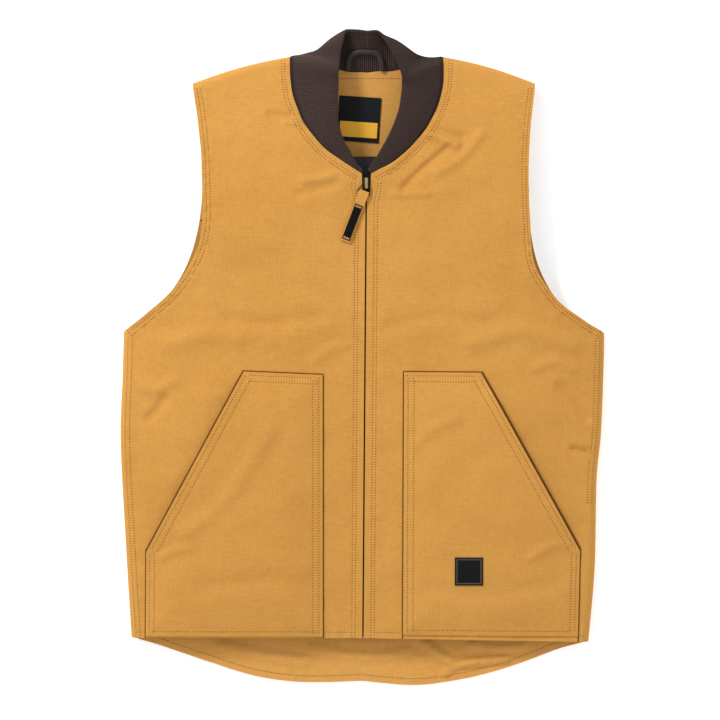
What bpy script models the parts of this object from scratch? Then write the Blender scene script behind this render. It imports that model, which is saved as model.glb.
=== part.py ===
"""Duck canvas work vest with a rib-knit collar and a full front zip, laid on its back.

Units are metres. +X is the wearer's left, +Y runs from the hem to the collar and +Z is up, away from the
surface that the vest lies on. The origin is on that surface, under the middle of the whole vest.
"""

import math
from collections import namedtuple

import bmesh
import bpy
import numpy as np
from mathutils import Matrix

# Driving sizes of the laid vest
CHEST_WIDTH = 0.577
BODY_LENGTH = 0.695
TAIL_DROP = 0.0565
CROWN_RISE = 0.0190
CROWN_REACH = 0.150
ZIP_LEAN = 0.0042
SHOULDER_BULGE = 0.0034
BACK_NECK_DROP = 0.0185

# Cloth thicknesses, and the gap that sewn pieces keep
SHELL = 0.0014
LINING = 0.0036
FACING = 0.0016
RIB_KNIT = 0.0032
SEAM_GAP = 0.0003
FOLD_HOLLOW = 0.0050
FOLD_RADIUS = SHELL + SEAM_GAP + LINING + FOLD_HOLLOW

# Depths of the inner pieces
HEM_TURN = 0.024
YOKE_DEPTH = 0.101
TAIL_FACING_DEPTH = 0.060

# Collar and hanger loop
COLLAR_WIDTH = 0.060
LOOP_THICKNESS = 0.0050

# Pockets
POCKET_PUFF = 0.0075
POCKET_PUFF_REACH = 0.055
POCKET_SEAT = 0.0006

# Zip
ZIP_HALF_GAP = 0.0013
NECK_HALF_GAP = 0.0066
TAPE_WIDTH = 0.0125
TAPE = 0.0010
TEETH_WIDTH = 0.0052
TEETH_DEPTH = 0.0024
SLIDER_LENGTH = 0.0150
SLIDER_WIDTH = 0.0100
SLIDER_FOOT_WIDTH = 0.0076
SLIDER_DEPTH = 0.0052
SLIDER_STANDING = 0.0020
SLIDER_TO_NECK = 0.0040
BRIDGE_LENGTH = 0.0128
BRIDGE_WIDTH = 0.0040
BRIDGE_BAR = 0.0013
PULLER_TOP_WIDTH = 0.0108
PULLER_BAR = 0.0014
PULLER_PLATE = 0.0012
STRAP_WIDTH = 0.0122
STRAP_LENGTH = 0.0620
STRAP_PLY = 0.0010
STRAP_SEAT = 0.0006
STRAP_HEADING = math.radians(-111.0)

# Labels
NECK_LABEL_WIDTH = 0.0500
NECK_LABEL_LENGTH = 0.0540
NECK_LABEL_DROP = 0.0290
NECK_LABEL_SHIFT = -0.0045
NECK_LABEL_TURN = math.radians(-3.7)
PATCH_SIZE = 0.0335
PATCH_THICKNESS = 0.0012
PATCH_UP = 0.0802
PATCH_OUT = 0.1262
WOVEN_LABEL = 0.0006
PULL_LABEL_WIDTH = 0.0086
PULL_LABEL_START = 0.0160
PULL_LABEL_END = 0.0600

# How finely the cloth is divided
SKIRT_ROWS = 8
ARMHOLE_ROWS = 5
SLIDER_ROWS = 4
YOKE_ROWS = 3
NECK_ROWS = 7
PANEL_COLUMNS = 5
COLLAR_BANDS = 6
LOOP_STEPS = 16
LOOP_SIDES = 8
FOLD_ANGLES = (0.0, 30.0, 60.0, 90.0)
CURVE_SAMPLES = 24
CUT_SNAP = 0.0008

HALF_CHEST = CHEST_WIDTH / 2
SIDES = {"right": -1, "left": 1}

# Outline of the laid vest: shares of half the chest width from the middle, and of the body length above
# the front hem. The two sides differ, as the laid vest does.
Outline = namedtuple("Outline", "across up")
SIDE_SEAM = {
    "right": [Outline(0.960, 0.000), Outline(0.982, 0.150), Outline(1.005, 0.335), Outline(0.997, 0.450),
              Outline(0.992, 0.526)],
    "left": [Outline(0.936, -0.007), Outline(0.962, 0.120), Outline(0.970, 0.270), Outline(0.988, 0.350),
             Outline(0.998, 0.450), Outline(1.002, 0.524)],
}
ARMHOLE = {
    "right": [Outline(0.992, 0.526), Outline(0.890, 0.560), Outline(0.794, 0.598), Outline(0.719, 0.655),
              Outline(0.676, 0.729), Outline(0.667, 0.815), Outline(0.683, 0.888), Outline(0.707, 0.954)],
    "left": [Outline(1.002, 0.524), Outline(0.905, 0.549), Outline(0.807, 0.582), Outline(0.730, 0.640),
             Outline(0.694, 0.712), Outline(0.684, 0.789), Outline(0.692, 0.872), Outline(0.715, 0.954)],
}
NECK_BASE_UP = 0.797

# Front neck seam: share of half the chest width, and of the way from the neck base up to the shoulder
NeckStation = namedtuple("NeckStation", "across climb")
NECKLINE = {
    "right": [NeckStation(0.042, 0.050), NeckStation(0.093, 0.118), NeckStation(0.156, 0.212),
              NeckStation(0.206, 0.325), NeckStation(0.246, 0.438), NeckStation(0.271, 0.557),
              NeckStation(0.291, 0.675), NeckStation(0.301, 0.828), NeckStation(0.3035, 1.0)],
    "left": [NeckStation(0.065, 0.035), NeckStation(0.121, 0.094), NeckStation(0.178, 0.187),
             NeckStation(0.223, 0.281), NeckStation(0.262, 0.384), NeckStation(0.293, 0.498),
             NeckStation(0.316, 0.616), NeckStation(0.332, 0.759), NeckStation(0.335, 0.882),
             NeckStation(0.333, 1.0)],
}

# Outline of each pocket, in the same shares
POCKET = {
    "right": [Outline(0.166, 0.000), Outline(0.166, 0.452), Outline(0.491, 0.458), Outline(0.896, 0.148),
              Outline(0.899, 0.000)],
    "left": [Outline(0.166, 0.003), Outline(0.170, 0.457), Outline(0.487, 0.456), Outline(0.898, 0.150),
             Outline(0.890, 0.000)],
}
POCKET_HEM = 0.0020

# Half of the tail hem: share of the way from the middle to the side seam's foot, and share of the tail drop
TailStation = namedtuple("TailStation", "across drop")
TAIL = {
    "right": [TailStation(0.00, 0.935), TailStation(0.26, 0.955), TailStation(0.46, 0.830),
              TailStation(0.67, 0.520), TailStation(0.86, 0.200), TailStation(1.00, 0.000)],
    "left": [TailStation(0.00, 0.935), TailStation(0.22, 1.000), TailStation(0.42, 0.880),
             TailStation(0.64, 0.600), TailStation(0.86, 0.190), TailStation(1.00, 0.000)],
}
TAIL_FADE = 1.5

# How full the vest lies: share of the crown rise at shares of the body length
Fullness = namedtuple("Fullness", "up crown")
CROWN = [Fullness(-0.10, 0.20), Fullness(0.00, 0.25), Fullness(0.15, 0.55), Fullness(0.40, 0.95),
         Fullness(0.65, 1.00), Fullness(0.80, 0.92), Fullness(1.00, 0.70)]

# Broad folds of the front: centre as outline shares, heading in degrees from +X, length and width as
# shares of the chest width, depth as a share of the crown rise (a hollow is negative)
Fold = namedtuple("Fold", "across up heading length width depth")
FRONT_FOLDS = [
    Fold(-0.66, 0.48, 62, 0.15, 0.060, -0.10),
    Fold(-0.40, 0.74, 12, 0.17, 0.065, 0.08),
    Fold(-0.30, 0.62, -8, 0.20, 0.060, -0.07),
    Fold(0.30, 0.77, 38, 0.13, 0.060, 0.09),
    Fold(0.36, 0.60, 6, 0.22, 0.065, -0.08),
    Fold(0.72, 0.49, -40, 0.15, 0.060, -0.08),
]

# Collar: place along the neck seam (0 to 1 up the right front, 1 to 2 round the back, 2 to 3 down the left
# front), then the step from the seam to the free edge and the outward swell, in shares of the collar width
Section = namedtuple("Section", "seam across up rise swell")
COLLAR = [
    Section(0.000, -0.040, 0.080, 0.030, 0.000), Section(0.080, 0.054, 0.088, 0.040, 0.010),
    Section(0.210, 0.250, 0.120, 0.080, 0.000), Section(0.365, 0.470, 0.136, 0.120, 0.035),
    Section(0.507, 0.654, 0.114, 0.160, 0.045), Section(0.640, 0.796, 0.060, 0.190, 0.050),
    Section(0.770, 0.902, -0.034, 0.220, 0.050), Section(0.876, 0.940, -0.120, 0.250, 0.060),
    Section(0.930, 0.940, -0.170, 0.250, 0.080), Section(1.000, 0.950, -0.200, 0.480, 0.120),
    Section(1.100, 0.680, 0.150, 0.530, 0.270), Section(1.200, 0.434, 0.488, 0.500, 0.310),
    Section(1.300, 0.180, 0.766, 0.460, 0.130), Section(1.400, 0.074, 0.868, 0.450, 0.060),
    Section(1.500, 0.000, 0.872, 0.450, 0.050), Section(1.600, -0.090, 0.808, 0.450, 0.120),
    Section(1.700, -0.248, 0.600, 0.470, 0.280), Section(1.800, -0.430, 0.342, 0.500, 0.290),
    Section(1.900, -0.610, 0.036, 0.520, 0.230), Section(2.000, -0.810, -0.294, 0.480, 0.120),
    Section(2.060, -0.792, -0.260, 0.260, 0.080), Section(2.113, -0.808, -0.218, 0.250, 0.060),
    Section(2.222, -0.802, -0.132, 0.230, 0.055), Section(2.353, -0.740, -0.036, 0.200, 0.050),
    Section(2.480, -0.656, 0.054, 0.170, 0.045), Section(2.610, -0.544, 0.100, 0.130, 0.035),
    Section(2.740, -0.404, 0.122, 0.090, 0.020), Section(2.860, -0.254, 0.112, 0.050, 0.010),
    Section(3.000, -0.040, 0.050, 0.030, 0.000),
]

# Hanger loop on the inside of the collar: place along the neck seam, share of the collar width
LoopPoint = namedtuple("LoopPoint", "seam share")
HANGER_LOOP = [LoopPoint(1.355, 0.09), LoopPoint(1.370, 0.34), LoopPoint(1.420, 0.60), LoopPoint(1.505, 0.71),
               LoopPoint(1.590, 0.60), LoopPoint(1.640, 0.34), LoopPoint(1.655, 0.09)]

DUCK_TAN = (0.665, 0.322, 0.075)
DUCK_SHADE = (0.480, 0.220, 0.055)
RIB_BROWN = (0.052, 0.033, 0.029)
LINING_BLACK = (0.020, 0.018, 0.017)
LABEL_BLACK = (0.020, 0.021, 0.024)
TAPE_BROWN = (0.120, 0.052, 0.022)
ZIP_BRASS = (0.170, 0.110, 0.060)

Surface = namedtuple("Surface", "points normals")
Cell = namedtuple("Cell", "corners row column")


def clear_scene():
    for obj in list(bpy.data.objects):
        bpy.data.objects.remove(obj, do_unlink=True)


def add_object(name, points, faces, colour, roughness=0.9, metallic=0.0):
    """Adds one closed body with a material of its own."""
    material = bpy.data.materials.new(name)
    material.use_nodes = True
    shader = material.node_tree.nodes["Principled BSDF"]
    shader.inputs["Base Color"].default_value = (*colour, 1.0)
    shader.inputs["Roughness"].default_value = roughness
    shader.inputs["Metallic"].default_value = metallic
    body = bmesh.new()
    corners = [body.verts.new(p) for p in points]
    for face in faces:
        body.faces.new([corners[i] for i in face])
    bmesh.ops.recalc_face_normals(body, faces=body.faces[:])
    mesh = bpy.data.meshes.new(name)
    body.to_mesh(mesh)
    body.free()
    mesh.materials.append(material)
    mesh.shade_smooth()
    mesh.set_sharp_from_angle(angle=math.radians(40))
    obj = bpy.data.objects.new(name, mesh)
    bpy.context.scene.collection.objects.link(obj)
    return obj


def curve_through(points):
    """A smooth curve through the points, as closely spaced samples."""
    points = np.array(points, float)
    ends = np.vstack([2 * points[0] - points[1], points, 2 * points[-1] - points[-2]])
    t = np.linspace(0, 1, CURVE_SAMPLES, endpoint=False)[:, None]
    spans = []
    for a, b, c, d in zip(ends, ends[1:], ends[2:], ends[3:]):
        spans.append(b + 0.5 * t * (c - a + t * (2 * a - 5 * b + 4 * c - d + t * (3 * b - a - 3 * c + d))))
    return np.vstack([*spans, points[-1:]])


def length_of(curve):
    return float(np.linalg.norm(np.diff(curve, axis=0), axis=1).sum())


def along(curve, shares):
    """The points at these shares of a sampled curve's length."""
    run = np.concatenate([[0], np.cumsum(np.linalg.norm(np.diff(curve, axis=0), axis=1))])
    return np.column_stack([np.interp(np.asarray(shares) * run[-1], run, axis) for axis in curve.T])


def smoothstep(x):
    x = np.clip(x, 0, 1)
    return x * x * (3 - 2 * x)


def placed(stations, sign):
    """Outline shares as points of the laid vest."""
    return np.array([(sign * s.across * HALF_CHEST, s.up * BODY_LENGTH) for s in stations])


def zip_middle(y):
    """The zip leans a little to the wearer's left on its way up."""
    return ZIP_LEAN * y / (NECK_BASE_UP * BODY_LENGTH)


def slider_foot():
    return NECK_BASE_UP * BODY_LENGTH - SLIDER_TO_NECK - SLIDER_LENGTH


def zip_half_gap(y):
    """Half the space between the two front edges, which spread round the slider."""
    neck_y = NECK_BASE_UP * BODY_LENGTH
    beside_slider = SLIDER_WIDTH / 2 + 2 * SEAM_GAP
    opening = smoothstep((y - slider_foot()) / SLIDER_LENGTH + 1.5)
    upper = smoothstep((y - slider_foot()) / (neck_y - slider_foot()))
    width = ZIP_HALF_GAP + (beside_slider - ZIP_HALF_GAP) * opening
    return width + (NECK_HALF_GAP - beside_slider) * upper


def neck_base(side):
    y = NECK_BASE_UP * BODY_LENGTH
    return np.array([zip_middle(y) + SIDES[side] * zip_half_gap(y), y])


def neck_points(side):
    """The places that the front neck seam passes, up to the neck point."""
    base, rise = NECK_BASE_UP, 1 - NECK_BASE_UP
    return placed([Outline(s.across, base + s.climb * rise) for s in NECKLINE[side]], SIDES[side])


def front_neckline(side):
    """The front neck seam, from the zip up to the neck point."""
    return curve_through([neck_base(side), *neck_points(side)])


def back_neckline(side):
    """Half the back neck seam, from its middle out to the neck point."""
    neck_point = neck_points(side)[-1]
    middle = np.array([zip_middle(neck_point[1]), neck_point[1] - BACK_NECK_DROP])
    between = middle + (neck_point - middle) * np.array([0.62, 0.30])
    return curve_through([middle, between, neck_point])


def shoulder(side):
    """The shoulder fold, from the neck point to the tip."""
    start = neck_points(side)[-1]
    end = placed(ARMHOLE[side], SIDES[side])[-1]
    share = np.linspace(0, 1, 2 * CURVE_SAMPLES)[:, None]
    return start + (end - start) * share + np.array([0, SHOULDER_BULGE]) * np.sin(math.pi * share)


def tail_droop(side, across):
    """How far the tail hem hangs below the side seam's foot, at shares of the way out to it."""
    curve = curve_through(TAIL[side])
    return TAIL_DROP * np.interp(across, curve[:, 0], curve[:, 1])


FOLD_LINES = [curve_through(placed(SIDE_SEAM[side], sign)) for side, sign in SIDES.items()]
FOLD_LINES += [shoulder(side) for side in SIDES]


def line_distance(xy, line):
    """How far each point is from a line of short straight pieces."""
    nearest = np.full(len(xy), np.inf)
    for a, b in zip(line, line[1:]):
        span = b - a
        share = np.clip(((xy - a) @ span) / (span @ span), 0, 1)
        nearest = np.minimum(nearest, np.linalg.norm(xy - a - share[:, None] * span, axis=1))
    return nearest


def fold_distance(xy):
    return np.min([line_distance(xy, line) for line in FOLD_LINES], axis=0)


def round_rise(distance):
    """The quarter round of a fold."""
    inside = 1 - np.clip(distance / FOLD_RADIUS, 0, 1)
    return FOLD_RADIUS * np.sqrt(1 - inside**2)


def fold_relief(xy):
    """The broad folds and hollows of the laid front."""
    relief = np.zeros(len(xy))
    for fold in FRONT_FOLDS:
        offset = xy - np.array([fold.across * HALF_CHEST, fold.up * BODY_LENGTH])
        heading = math.radians(fold.heading)
        lengthwise = offset @ np.array([math.cos(heading), math.sin(heading)])
        crosswise = offset @ np.array([-math.sin(heading), math.cos(heading)])
        bell = (lengthwise / (fold.length * CHEST_WIDTH)) ** 2 + (crosswise / (fold.width * CHEST_WIDTH)) ** 2
        relief += fold.depth * CROWN_RISE * np.exp(-2 * bell)
    return relief


def front_height(xy):
    """Height of the outside of the front."""
    distance = fold_distance(xy)
    fullness = curve_through(CROWN)
    crown = np.interp(xy[:, 1] / BODY_LENGTH, fullness[:, 0], fullness[:, 1])
    ease = np.sin(np.clip(distance / CROWN_REACH, 0, 1) * math.pi / 2)
    calm = smoothstep(distance / (3 * FOLD_RADIUS))
    body = FOLD_RADIUS + SEAM_GAP + round_rise(distance)
    return body + crown * CROWN_RISE * ease + calm * fold_relief(xy)


def back_height(xy):
    """Height of the outside of the back, which lies flat but for its turned-up sides."""
    return FOLD_RADIUS - round_rise(fold_distance(xy))


def fold_offsets():
    """Distances from a fold that divide its quarter round evenly, furthest first."""
    return [FOLD_RADIUS * (1 - math.cos(math.radians(a))) for a in reversed(FOLD_ANGLES)]


def shares_to_fold(length, starts, count):
    """Shares of a line that ends on a fold: the given starts, even steps, then the fold's own."""
    first, last = starts[-1], length - fold_offsets()[0]
    steps = [first + (last - first) * k / count for k in range(1, count)]
    return np.array([*starts, *steps, *[length - offset for offset in fold_offsets()]]) / length


def join_grids(grids, height, outward):
    """Welds flat grids of points into one surface at its height, with normals that point outward."""
    index, flat, cells = {}, [], []
    for grid in grids:
        ids = np.empty(grid.shape[:2], int)
        for place in np.ndindex(*grid.shape[:2]):
            key = tuple(np.round(grid[place], 7))
            if key not in index:
                index[key] = len(flat)
                flat.append(grid[place])
            ids[place] = index[key]
        for row, column in np.ndindex(grid.shape[0] - 1, grid.shape[1] - 1):
            a, b, d, c = (int(i) for i in ids[row : row + 2, column : column + 2].ravel())
            cells += [Cell((a, b, c), row, column), Cell((a, c, d), row, column)]
    flat = np.array(flat)
    points = np.column_stack([flat, height(flat)])
    normals = np.zeros_like(points)
    for cell in cells:
        a, b, c = points[list(cell.corners)]
        face = np.cross(b - a, c - a)
        normals[list(cell.corners)] += face * np.sign(face[2]) * outward
    on_fold = fold_distance(flat) < SEAM_GAP
    normals[on_fold, 2] = 0
    normals /= np.linalg.norm(normals, axis=1)[:, None]
    return Surface(points, normals), cells


def rim_edges(faces):
    """The edges that only one face has."""
    met = {}
    for face in faces:
        for a, b in zip(face, (*face[1:], face[0])):
            key = frozenset((a, b))
            met[key] = None if key in met else (a, b)
    return [edge for edge in met.values() if edge]


def sheet(name, surface, faces, outer, thickness, colour):
    """A closed sheet of cloth of even thickness, its outside this deep under the surface."""
    used = sorted({i for face in faces for i in face})
    place = {old: new for new, old in enumerate(used)}
    faces = [tuple(place[i] for i in face) for face in faces]
    top = surface.points[used] - outer * surface.normals[used]
    bottom = top - thickness * surface.normals[used]
    count = len(used)
    sides = [(b, a, a + count, b + count) for a, b in rim_edges(faces)]
    under = [tuple(i + count for i in reversed(face)) for face in faces]
    return add_object(name, np.vstack([top, bottom]), [*faces, *under, *sides], colour)


def cut_out(surface, faces, outline):
    """The part of a surface that is inside a convex outline, seen from above."""
    points, normals = list(surface.points), list(surface.normals)
    outline = np.asarray(outline)
    for a, b in zip(outline, np.roll(outline, -1, axis=0)):
        inward = np.array([a[1] - b[1], b[0] - a[0]]) / np.linalg.norm(b - a)
        if (outline.mean(axis=0) - a) @ inward < 0:
            inward = -inward
        reach = [float((p[:2] - a) @ inward) for p in points]
        reach = [0.0 if abs(r) < CUT_SNAP else r for r in reach]
        crossings, kept = {}, []
        for face in faces:
            ring = []
            for i, j in zip(face, (*face[1:], face[0])):
                if reach[i] >= 0:
                    ring.append(i)
                if reach[i] * reach[j] < 0:
                    key = (min(i, j), max(i, j))
                    if key not in crossings:
                        share = reach[key[0]] / (reach[key[0]] - reach[key[1]])
                        crossings[key] = len(points)
                        points.append(points[key[0]] + (points[key[1]] - points[key[0]]) * share)
                        normals.append(normals[key[0]] + (normals[key[1]] - normals[key[0]]) * share)
                    ring.append(crossings[key])
            if len(ring) > 2 and max(reach[i] for i in face) > 0:
                kept.append(tuple(ring))
        faces = kept
    return Surface(np.array(points), np.array(normals)), faces


def panel_rows(inner, outer, starts):
    """Straight rows between two edges, the last ones bulged to the shoulder fold."""
    rows = []
    for k, (a, b) in enumerate(zip(inner, outer)):
        share = shares_to_fold(float(np.linalg.norm(b - a)), starts, PANEL_COLUMNS)[:, None]
        bulge = smoothstep((k - len(inner) + NECK_ROWS + 1) / NECK_ROWS) * SHOULDER_BULGE
        rows.append(a + (b - a) * share + np.array([0, bulge]) * np.sin(math.pi * share))
    return np.array(rows)


def front_starts():
    """Distances from the front edge to the zip tape, past it, and to the lining beside it."""
    tape_start = TEETH_WIDTH / 2 + SEAM_GAP - ZIP_HALF_GAP
    return [0.0, tape_start, tape_start + TAPE_WIDTH, tape_start + TAPE_WIDTH + 2 * SEAM_GAP]


def zip_heights():
    """Heights above the hem of the rows that meet the zip."""
    armpit = placed(SIDE_SEAM["right"], 1)[-1][1]
    skirt = [0.0, *np.linspace(HEM_TURN, armpit, SKIRT_ROWS)]
    below_slider = slider_foot() - 1.5 * SLIDER_LENGTH
    chest = np.linspace(armpit, below_slider, ARMHOLE_ROWS + 1)[1:]
    slider = np.linspace(below_slider, NECK_BASE_UP * BODY_LENGTH, SLIDER_ROWS + 1)[1:]
    return np.array(skirt), np.array([*chest, *slider])


def front_grid(side):
    """The flat grid of one front: rows from the hem up, columns from the zip to the side."""
    sign = SIDES[side]
    seam = curve_through(placed(SIDE_SEAM[side], sign))
    armhole = curve_through(placed(ARMHOLE[side], sign))
    neckline = front_neckline(side)
    skirt, chest = zip_heights()
    neck = shares_to_fold(length_of(neckline), [0.0], NECK_ROWS)[1:]
    inner = [(zip_middle(y) + sign * zip_half_gap(y), y) for y in [*skirt, *chest]]
    inner = np.vstack([inner, along(neckline, neck)])
    lower = 0.5 * (chest - skirt[-1]) / (chest[-1] - skirt[-1])
    upper = 0.5 + 0.5 * shares_to_fold(length_of(armhole) / 2, [0.0], NECK_ROWS)[1:]
    outer = np.vstack([along(seam, skirt / skirt[-1]), along(armhole, [*lower, *upper])])
    return panel_rows(inner, outer, front_starts())


def back_rows():
    """Shares of the rows below the armpit, and heights of those above it, at the middle of the back."""
    armpit = placed(SIDE_SEAM["right"], 1)[-1][1]
    facing = TAIL_FACING_DEPTH / armpit
    gap = 2 * SEAM_GAP
    skirt = [0.0, facing, facing + gap / armpit, *np.linspace(facing, 1, SKIRT_ROWS)[1:]]
    middle = back_neckline("right")[0][1]
    yoke = middle - YOKE_DEPTH
    chest = np.linspace(armpit, yoke - gap, ARMHOLE_ROWS + 1)[1:]
    return np.array(skirt), np.array([*chest, *np.linspace(yoke, middle, YOKE_ROWS + 1)])


def back_grid(side):
    """The flat grid of half the back: rows from the tail up, columns from the middle to the side."""
    sign = SIDES[side]
    seam = curve_through(placed(SIDE_SEAM[side], sign))
    armhole = curve_through(placed(ARMHOLE[side], sign))
    neckline = back_neckline(side)
    skirt, chest = back_rows()
    armpit = placed(SIDE_SEAM["right"], 1)[-1][1]
    neck = shares_to_fold(length_of(neckline), [0.0], NECK_ROWS)[1:]
    inner = [(zip_middle(y), y) for y in [*(skirt * armpit), *chest]]
    inner = np.vstack([inner, along(neckline, neck)])
    split = (chest[-1] - armpit) / (BODY_LENGTH - armpit) * 0.78
    lower = split * (chest - armpit) / (chest[-1] - armpit)
    upper = split + (1 - split) * shares_to_fold(length_of(armhole) * (1 - split), [0.0], NECK_ROWS)[1:]
    outer = np.vstack([along(seam, skirt), along(armhole, [*lower, *upper])])
    grid = panel_rows(inner, outer, [0.0])
    for row, share in zip(grid, skirt):
        across = (row[:, 0] - row[0, 0]) / (row[-1, 0] - row[0, 0])
        row[:, 1] -= tail_droop(side, across) * (1 - share) ** TAIL_FADE
    return grid


def make_front(side):
    """One front with its lining and its half of the zip tape."""
    surface, cells = join_grids([front_grid(side)], front_height, 1)
    skirt, chest = zip_heights()
    armpit_row = len(skirt) - 1
    neck_row = armpit_row + len(chest)
    armhole_column = max(cell.column for cell in cells) - 1
    lined = [cell for cell in cells if cell.row >= 1]
    lined = [cell for cell in lined if cell.row < armpit_row or cell.column < armhole_column]
    lined = [cell for cell in lined if cell.row > neck_row or cell.column >= len(front_starts()) - 1]
    taped = [cell for cell in cells if cell.row < neck_row and cell.column == 1]
    sheet(f"front_{side}", surface, [cell.corners for cell in cells], 0, SHELL, DUCK_TAN)
    under = SHELL + SEAM_GAP
    sheet(f"lining_{side}", surface, [cell.corners for cell in lined], under, LINING, LINING_BLACK)
    sheet(f"zip_tape_{side}", surface, [cell.corners for cell in taped], under, TAPE, TAPE_BROWN)
    return surface, cells


def make_back():
    """The back with its lining and the facings of the neck and the tail."""
    surface, cells = join_grids([back_grid(side) for side in SIDES], back_height, -1)
    skirt, _ = back_rows()
    armpit_row = len(skirt) - 1
    yoke_row = armpit_row + ARMHOLE_ROWS + 1
    armhole_column = max(cell.column for cell in cells) - 1
    inside = [cell for cell in cells if cell.row < armpit_row or cell.column < armhole_column]
    facing = [cell.corners for cell in inside if cell.row < 1]
    lined = [cell.corners for cell in inside if 2 <= cell.row < yoke_row - 1]
    yoke = [cell.corners for cell in inside if cell.row >= yoke_row]
    under = SHELL + SEAM_GAP
    sheet("back_panel", surface, [cell.corners for cell in cells], 0, SHELL, DUCK_TAN)
    sheet("tail_facing", surface, facing, under, FACING, DUCK_SHADE)
    sheet("lining_back", surface, lined, under, LINING, LINING_BLACK)
    sheet("neck_facing", surface, yoke, under, FACING, DUCK_TAN)
    return surface, yoke


def make_pocket(side, surface, cells):
    """A patch pocket that follows its front and stands off it toward the slanted mouth."""
    outline = placed(POCKET[side], SIDES[side])
    outline[[0, -1], 1] = outline[[0, -1], 1] + POCKET_HEM
    face, faces = cut_out(surface, [cell.corners for cell in cells], outline)
    sewn = np.vstack([outline[3:], outline[:3]])
    ease = np.clip(line_distance(face.points[:, :2], sewn) / POCKET_PUFF_REACH, 0, 1)
    standing = POCKET_SEAT + SHELL + POCKET_PUFF * np.sin(ease * math.pi / 2)
    face = Surface(face.points + standing[:, None] * face.normals, face.normals)
    sheet(f"pocket_{side}", face, faces, 0, SHELL, DUCK_TAN)
    return face, faces


def rectangle(centre, width, length, turn=0.0):
    corners = np.array([(-1, -1), (1, -1), (1, 1), (-1, 1)]) * (width / 2, length / 2)
    turned = [[math.cos(turn), math.sin(turn)], [-math.sin(turn), math.cos(turn)]]
    return np.array(centre) + corners @ turned


def neck_lines():
    """The four stretches of the neck seam in order, and whether each is drawn against that order."""
    return [("right", front_neckline("right"), False), ("back", back_neckline("right"), True),
            ("back", back_neckline("left"), False), ("left", front_neckline("left"), True)]


def neck_places():
    """Places along the neck seam where the panels' rows meet it."""
    shares = [shares_to_fold(length_of(line), [0.0], NECK_ROWS) for _, line, _ in neck_lines()]
    return np.array([*shares[0], *(1.5 - shares[1][::-1] / 2), *(1.5 + shares[2][1:] / 2), *(3 - shares[3][::-1])])


def neck_root(panels):
    """Points and normals of the panels' edges along the neck seam."""
    points, normals = [], []
    for number, (name, line, backward) in enumerate(neck_lines()):
        shares = shares_to_fold(length_of(line), [0.0], NECK_ROWS)
        flat = along(line, shares[::-1] if backward else shares)
        for place in flat[1:] if number == 2 else flat:
            nearest = np.argmin(np.linalg.norm(panels[name].points[:, :2] - place, axis=1))
            points.append(panels[name].points[nearest])
            normals.append(panels[name].normals[nearest])
    return np.array(points), np.array(normals)


def collar_grid(panels):
    """The outside of the collar and its normals: rows along the neck seam, columns out to the free edge."""
    places = neck_places()
    root, root_normals = neck_root(panels)
    table = curve_through(COLLAR)
    shape = np.column_stack([np.interp(places, table[:, 0], table[:, k]) for k in range(1, 5)]) * COLLAR_WIDTH
    step, swell = shape[:, :3], shape[:, 3]
    outward = np.cross(step, np.gradient(root + step / 2, axis=0))
    outward /= np.linalg.norm(outward, axis=1)[:, None]
    shares = np.linspace(0, 1, COLLAR_BANDS + 1)
    shares[0] = 4 * SEAM_GAP / COLLAR_WIDTH
    bow = 4 * shares * (1 - shares)
    grid = root[:, None] + step[:, None] * shares[:, None] + outward[:, None] * (swell[:, None] * bow)[..., None]
    grid[..., 2] = np.maximum(grid[..., 2], 0)  # the collar lies on the surface, level with the back
    normals = np.cross(np.gradient(grid, axis=1), np.gradient(grid, axis=0))
    normals /= np.linalg.norm(normals, axis=2)[..., None]
    normals[:, 0] = root_normals
    return Surface(grid, normals)


def grid_faces(rows, columns):
    ids = np.arange(rows * columns).reshape(rows, columns)
    corners = [(ids[r, c], ids[r, c + 1], ids[r + 1, c + 1], ids[r + 1, c])
               for r, c in np.ndindex(rows - 1, columns - 1)]
    return [tuple(int(i) for i in corner) for corner in corners]


def make_collar(panels):
    grid = collar_grid(panels)
    faces = grid_faces(*grid.points.shape[:2])
    flat = Surface(grid.points.reshape(-1, 3), grid.normals.reshape(-1, 3))
    sheet("collar", flat, faces, 0, RIB_KNIT, RIB_BROWN)
    return grid


def collar_inside(grid, seam, share):
    """A point on the inside of the collar and the direction away from it."""
    row = np.interp(seam, neck_places(), np.arange(len(grid.points)))
    column = share * COLLAR_BANDS
    low, left = int(row), int(column)
    weights = [(0, 0, (1 - row + low) * (1 - column + left)), (1, 0, (row - low) * (1 - column + left)),
               (0, 1, (1 - row + low) * (column - left)), (1, 1, (row - low) * (column - left))]
    point = sum(grid.points[low + i, left + j] * w for i, j, w in weights)
    normal = sum(grid.normals[low + i, left + j] * w for i, j, w in weights)
    normal /= np.linalg.norm(normal)
    return point - RIB_KNIT * normal, -normal


def make_hanger_loop(grid):
    """A round loop of cord that lies on the inside of the collar."""
    line = along(curve_through(HANGER_LOOP), np.linspace(0, 1, LOOP_STEPS))
    seats = [collar_inside(grid, *place) for place in line]
    clear = LOOP_THICKNESS / 2 + 3 * SEAM_GAP
    centres = np.array([point + clear * away for point, away in seats])
    points = []
    for centre, run, (_, away) in zip(centres, np.gradient(centres, axis=0), seats):
        across = np.cross(run, away)
        across /= np.linalg.norm(across)
        up = np.cross(across, run / np.linalg.norm(run))
        for k in range(LOOP_SIDES):
            turn = 2 * math.pi * k / LOOP_SIDES
            points.append(centre + LOOP_THICKNESS / 2 * (math.cos(turn) * across + math.sin(turn) * up))
    ring = range(LOOP_SIDES)
    faces = [tuple(ring), tuple(i + LOOP_SIDES * (LOOP_STEPS - 1) for i in ring)]
    for low in range(0, LOOP_SIDES * (LOOP_STEPS - 1), LOOP_SIDES):
        for k in ring:
            after = (k + 1) % LOOP_SIDES
            faces.append((low + k, low + after, low + after + LOOP_SIDES, low + k + LOOP_SIDES))
    add_object("hanger_loop", points, faces, RIB_BROWN)


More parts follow.
